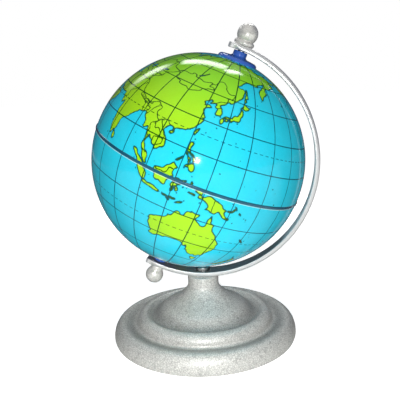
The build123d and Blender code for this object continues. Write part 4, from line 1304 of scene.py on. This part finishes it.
class GLOBE_OT_pan_screw(bpy.types.Operator):
    """Model the cross recessed screw that holds the arm on the base"""
    bl_idname = "globe.pan_screw"
    bl_label = "Pan screw"

    def execute(self, context):
        seat, top = 36.4, 36.4 + 2.3
        section = joined(
            [(0, 22), (1.7, 22), (2, 22.4), (2, seat), (3.8, seat)],
            flow([(3.8, seat), (4.0, seat + 0.3), (3.85, seat + 1.15), (2.6, seat + 2.0), (0, top)],
                 (0.6, 0.4), (-1, 0), 5))
        screw = lathe("pan_screw", section, 72)
        for turn in (20, 110):
            deselect()
            bpy.ops.mesh.primitive_cube_add(size=1, location=(0, 0, top * MM),
                                            rotation=(0, 0, math.radians(turn)))
            blade = bpy.context.object
            blade.scale = (4.4 * MM, 0.9 * MM, 2.8 * MM)
            started("blade")
            bpy.ops.object.mode_set(mode="EDIT")
            select(blade, "FACE", lambda face: face.normal.z < -0.9)
            bpy.ops.transform.resize(value=(0.5, 0.5, 1), center_override=(0, 0, 0))
            bpy.ops.object.mode_set(mode="OBJECT")
            cut(screw, blade)
        plating = plated("screw plating", context.scene.globe_finishes.plating)
        dress(screw, plating, "screw_plating", "stand", "arm_screw", smooth=40)
        return {"FINISHED"}


class GLOBE_OT_plain_parts(bpy.types.Operator):
    """Finish the axle, the washer and the felt, whose shapes are right as they are"""
    bl_idname = "globe.plain_parts"
    bl_label = "Axle, washer and felt"

    def execute(self, context):
        colours = context.scene.globe_finishes
        finishes = {
            "axle_rod": plated("axle steel", colours.axle),
            "lock_washer": plated("washer plating", colours.plating, 1.5),
            "base_felt": felt_cloth("base felt", colours.felt),
        }
        for node, finish in finishes.items():
            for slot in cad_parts[node].material_slots:
                slot.material = finish
        return {"FINISHED"}


class GLOBE_OT_stage(bpy.types.Operator):
    """Set the floor, the light and the camera"""
    bl_idname = "globe.stage"
    bl_label = "Stage"

    AZIMUTH, ELEVATION, DISTANCE = 10, 8.509, 289.6 * MM    # of the camera from the ball's centre
    PITCH, ROLL = math.radians(3.898), math.radians(-2.337)
    LENS, SENSOR = 51.6708, 36
    BESIDE = Vector((-0.006, 0, 0.002))                 # from the camera to its lamps
    FLASH_SHARE = 0.35                                  # of the front light, which shows in the gloss
    STRIP_DISTANCE, ROOM, MAT = 0.9, 1.4, 1.3
    WHITE = (1, 1, 1)

    def execute(self, context):
        scene, stage = context.scene, context.scene.globe_stage
        scene.view_settings.view_transform = "Standard"
        back = self.direction(self.AZIMUTH, self.ELEVATION)
        self.camera(scene, back)
        front = CENTRE + back * self.DISTANCE * 1.02 + self.BESIDE
        behind = CENTRE - Vector((back.x, back.y, 0)).normalized() * self.DISTANCE * 1.3
        disc = {"shape": "DISK", "size": 0.016}
        wide = self.lamp("front_lamp", "AREA", front, CENTRE,
                         stage.front_light * (1 - self.FLASH_SHARE), **disc)
        flash = self.lamp("flash_lamp", "AREA", front, CENTRE,
                          stage.front_light * self.FLASH_SHARE, **disc)
        self.lamp("base_lamp", "SPOT", front, Vector((0, 0, -0.006)), stage.base_light,
                  spot_size=math.radians(21), spot_blend=0.3, shadow_soft_size=0.02)
        rear = self.lamp("back_lamp", "AREA", behind, CENTRE, stage.back_light,
                         shape="DISK", size=0.04)
        wide.visible_camera = flash.visible_camera = rear.visible_camera = False
        wide.visible_glossy = rear.visible_glossy = False
        self.world(scene, stage.room_light, back)
        self.floor()
        self.room(back)
        self.strip("long_strip_light", ((-159, 48.3), (161, 51.8)), 0.18, 8, 0.15, 0.05)
        self.strip("left_strip_light", ((-125.5, 30), (-155, 50)), 0.17, 6, 0.7, 0.3)
        self.strip("short_strip_light", ((154.3, 58), (153, 44)), 0.1, 12, 0.15, 0.3)
        return {"FINISHED"}

    def direction(self, azimuth, elevation):
        """The way out from the ball at two angles in degrees. The front is azimuth 0."""
        a, e = math.radians(azimuth), math.radians(elevation)
        return Vector((math.sin(a) * math.cos(e), -math.cos(a) * math.cos(e), math.sin(e)))

    def camera(self, scene, back):
        """A camera that looks at the ball, tipped and rolled a little."""
        forward = -back
        right = forward.cross(Vector((0, 0, 1))).normalized()
        up = right.cross(forward)
        forward, up = (forward * math.cos(self.PITCH) - up * math.sin(self.PITCH),
                       up * math.cos(self.PITCH) + forward * math.sin(self.PITCH))
        right, up = (right * math.cos(self.ROLL) + up * math.sin(self.ROLL),
                     up * math.cos(self.ROLL) - right * math.sin(self.ROLL))
        eye = bpy.data.cameras.new("camera")
        eye.sensor_width = self.SENSOR
        eye.lens = self.LENS
        eye.clip_start = 0.01
        holder = bpy.data.objects.new("camera", eye)
        scene.collection.objects.link(holder)
        turn = Matrix((right, up, -forward)).transposed().to_4x4()
        holder.matrix_world = Matrix.Translation(CENTRE + back * self.DISTANCE) @ turn
        scene.camera = holder

    def lamp(self, name, kind, place, target, power, **values):
        """A lamp at a place that shines at a target."""
        light = bpy.data.lights.new(name, kind)
        light.energy = power
        for key, value in values.items():
            setattr(light, key, value)
        holder = bpy.data.objects.new(name, light)
        bpy.context.scene.collection.objects.link(holder)
        aim = (target - place).to_track_quat("-Z", "Y").to_matrix().to_4x4()
        holder.matrix_world = Matrix.Translation(place) @ aim
        return holder

    def seen(self, finish):
        """1 where the eye, a mirror or glass looks, and 0 for light on its way to the object."""
        path = finish.node("ShaderNodeLightPath", output="Is Camera Ray")
        return path.most(path.output("Is Glossy Ray")).most(path.output("Is Transmission Ray"))

    def world(self, scene, room_light, back):
        """A room that is seen white, and whose even light is stronger from above and in front."""
        sky = Finish("white room", world=True)
        scene.world = sky.material
        seen = self.seen(sky)
        facing = sky.along(sky.node("ShaderNodeTexCoord", output="Generated"),
                           (back + Vector((0, 0, 0.5))).normalized())
        room = sky.rise(facing, 0.1, 1.0, room_light * 0.25, room_light * 2.5)
        light = sky.node("ShaderNodeBackground", {"Color": self.WHITE,
                                                  "Strength": room + seen * (1 - room)})
        sky.shown(light, "ShaderNodeOutputWorld")

    def floor(self):
        """Pale paper whose glow is weaker near the globe, a painted shade round the base."""
        deselect()
        bpy.ops.mesh.primitive_circle_add(vertices=96, radius=3, fill_type="NGON")
        ground = started("floor")
        paper = Finish("pale floor")
        matt = paper.node("ShaderNodeBsdfDiffuse", {"Color": (0.9, 0.9, 0.9)})
        x, y, _ = paper.axes(paper.place())
        # painted shade: the paper's glow is weaker near the globe, so it is seen darker round the base
        far = paper.rise(x.hypot(y), 0.06, 0.5, 0.62, 0.85)
        glow = paper.glowing(self.WHITE, self.seen(paper) * far)
        paper.shown(paper.node("ShaderNodeAddShader", {0: matt, 1: glow}))
        ground.data.materials.append(paper.material)

    def reflected(self, thing, glow, tone, strength=1.0):
        """Make a screen that only shows in gloss, not to the eye and not as light."""
        glow.shown(glow.glowing(tone, strength))
        thing.data.materials.clear()
        thing.data.materials.append(glow.material)
        thing.visible_camera = thing.visible_diffuse = thing.visible_shadow = False
        thing.visible_transmission = False

    def strip(self, name, ends, width, strength, lead, trail):
        """A long soft light between two directions, azimuth and elevation in degrees, that fades
        over a share of its length at each end."""
        start, stop = (CENTRE + self.STRIP_DISTANCE * self.direction(*end) for end in ends)
        along, middle = stop - start, (start + stop) / 2
        way = along.normalized()
        side = way.cross((CENTRE - middle).normalized()).normalized()
        if side.z < 0:
            side = -side
        deselect()
        bpy.ops.mesh.primitive_plane_add(size=1)
        thing = bpy.context.object
        turn = Matrix((way, side, way.cross(side))).transposed().to_4x4()
        thing.matrix_world = (Matrix.Translation(middle) @ turn
                              @ Matrix.Diagonal((along.length, width, 1, 1)))
        started(name)
        glow = Finish(name)
        u, v, _ = glow.axes(glow.node("ShaderNodeTexCoord", output="UV"))
        fade = (glow.rise(u, 0, lead) * glow.rise(u, 1, 1 - trail)
                * glow.rise(v, 0, 0.2) * glow.rise(v, 1, 0.8))
        self.reflected(thing, glow, self.WHITE, fade * strength)

    def room(self, back):
        """The dim room that the gloss shows, paler on the eye's side, and a mat under the globe."""
        deselect()
        bpy.ops.mesh.primitive_uv_sphere_add(segments=48, ring_count=24, radius=self.ROOM,
                                             location=CENTRE)
        cloth = started("room_cloth")
        bpy.ops.object.mode_set(mode="EDIT")
        bpy.ops.mesh.select_all(action="SELECT")
        bpy.ops.mesh.flip_normals()
        bpy.ops.object.mode_set(mode="OBJECT")
        dim = Finish("room_cloth")
        facing = dim.along(dim.place(CENTRE), back / self.ROOM)
        above = dim.along(dim.place(CENTRE), (back * 0.3 + Vector((0, 0, 1))).normalized() / self.ROOM)
        shade = dim.mix(dim.rise(facing, 0.0, 0.85), (0.065, 0.075, 0.12), (0.14, 0.14, 0.14))
        shade = dim.mix(dim.rise(above, 0.6, 0.95), shade, (0.5, 0.5, 0.5))
        self.reflected(cloth, dim, shade)
        deselect()
        bpy.ops.mesh.primitive_circle_add(vertices=96, radius=self.MAT, fill_type="NGON",
                                          location=(0, 0, 0.4 * MM))
        mat = started("shaded_mat")
        dark = Finish("shaded_mat")
        facing = dark.along(dark.place(), back)
        shade = dark.mix(dark.rise(facing, -0.03, 0.06), (0.09, 0.09, 0.1), (0.8, 0.8, 0.78))
        self.reflected(mat, dark, shade)


class GLOBE_PT_panel(bpy.types.Panel):
    """List the globe's pieces and sizes"""
    bl_idname = "GLOBE_PT_panel"
    bl_label = "Desktop globe"
    bl_space_type = "VIEW_3D"
    bl_region_type = "UI"
    bl_category = "Globe"

    def draw(self, context):
        for group in (getattr(context.scene, name) for name in GROUPS):
            box = self.layout.box()
            box.label(text=group.bl_rna.description)
            for name in group.__annotations__:
                box.prop(group, name)
        for operator in PIECES:
            self.layout.operator(operator.bl_idname)


GROUPS = {"globe_ball": GlobeBallSizes, "globe_stand": GlobeStandSizes,
          "globe_finishes": GlobeFinishes, "globe_stage": GlobeStage}
PIECES = (GLOBE_OT_printed_halves, GLOBE_OT_seam_bead, GLOBE_OT_pole_bushes, GLOBE_OT_bent_arm,
          GLOBE_OT_finials, GLOBE_OT_cast_base, GLOBE_OT_pan_screw, GLOBE_OT_plain_parts,
          GLOBE_OT_stage)


def register():
    for name, group in GROUPS.items():
        bpy.utils.register_class(group)
        setattr(bpy.types.Scene, name, bpy.props.PointerProperty(type=group))
    for listed in (*PIECES, GLOBE_PT_panel):
        bpy.utils.register_class(listed)


def unregister():
    for listed in (GLOBE_PT_panel, *reversed(PIECES)):
        bpy.utils.unregister_class(listed)
    for name, group in GROUPS.items():
        delattr(bpy.types.Scene, name)
        bpy.utils.unregister_class(group)


def main():
    register()
    bpy.ops.globe.printed_halves()
    bpy.ops.globe.seam_bead()
    bpy.ops.globe.pole_bushes()
    bpy.ops.globe.bent_arm()
    bpy.ops.globe.finials()
    bpy.ops.globe.cast_base()
    bpy.ops.globe.pan_screw()
    bpy.ops.globe.plain_parts()
    bpy.ops.globe.stage()


if __name__ == "__main__":
    main()
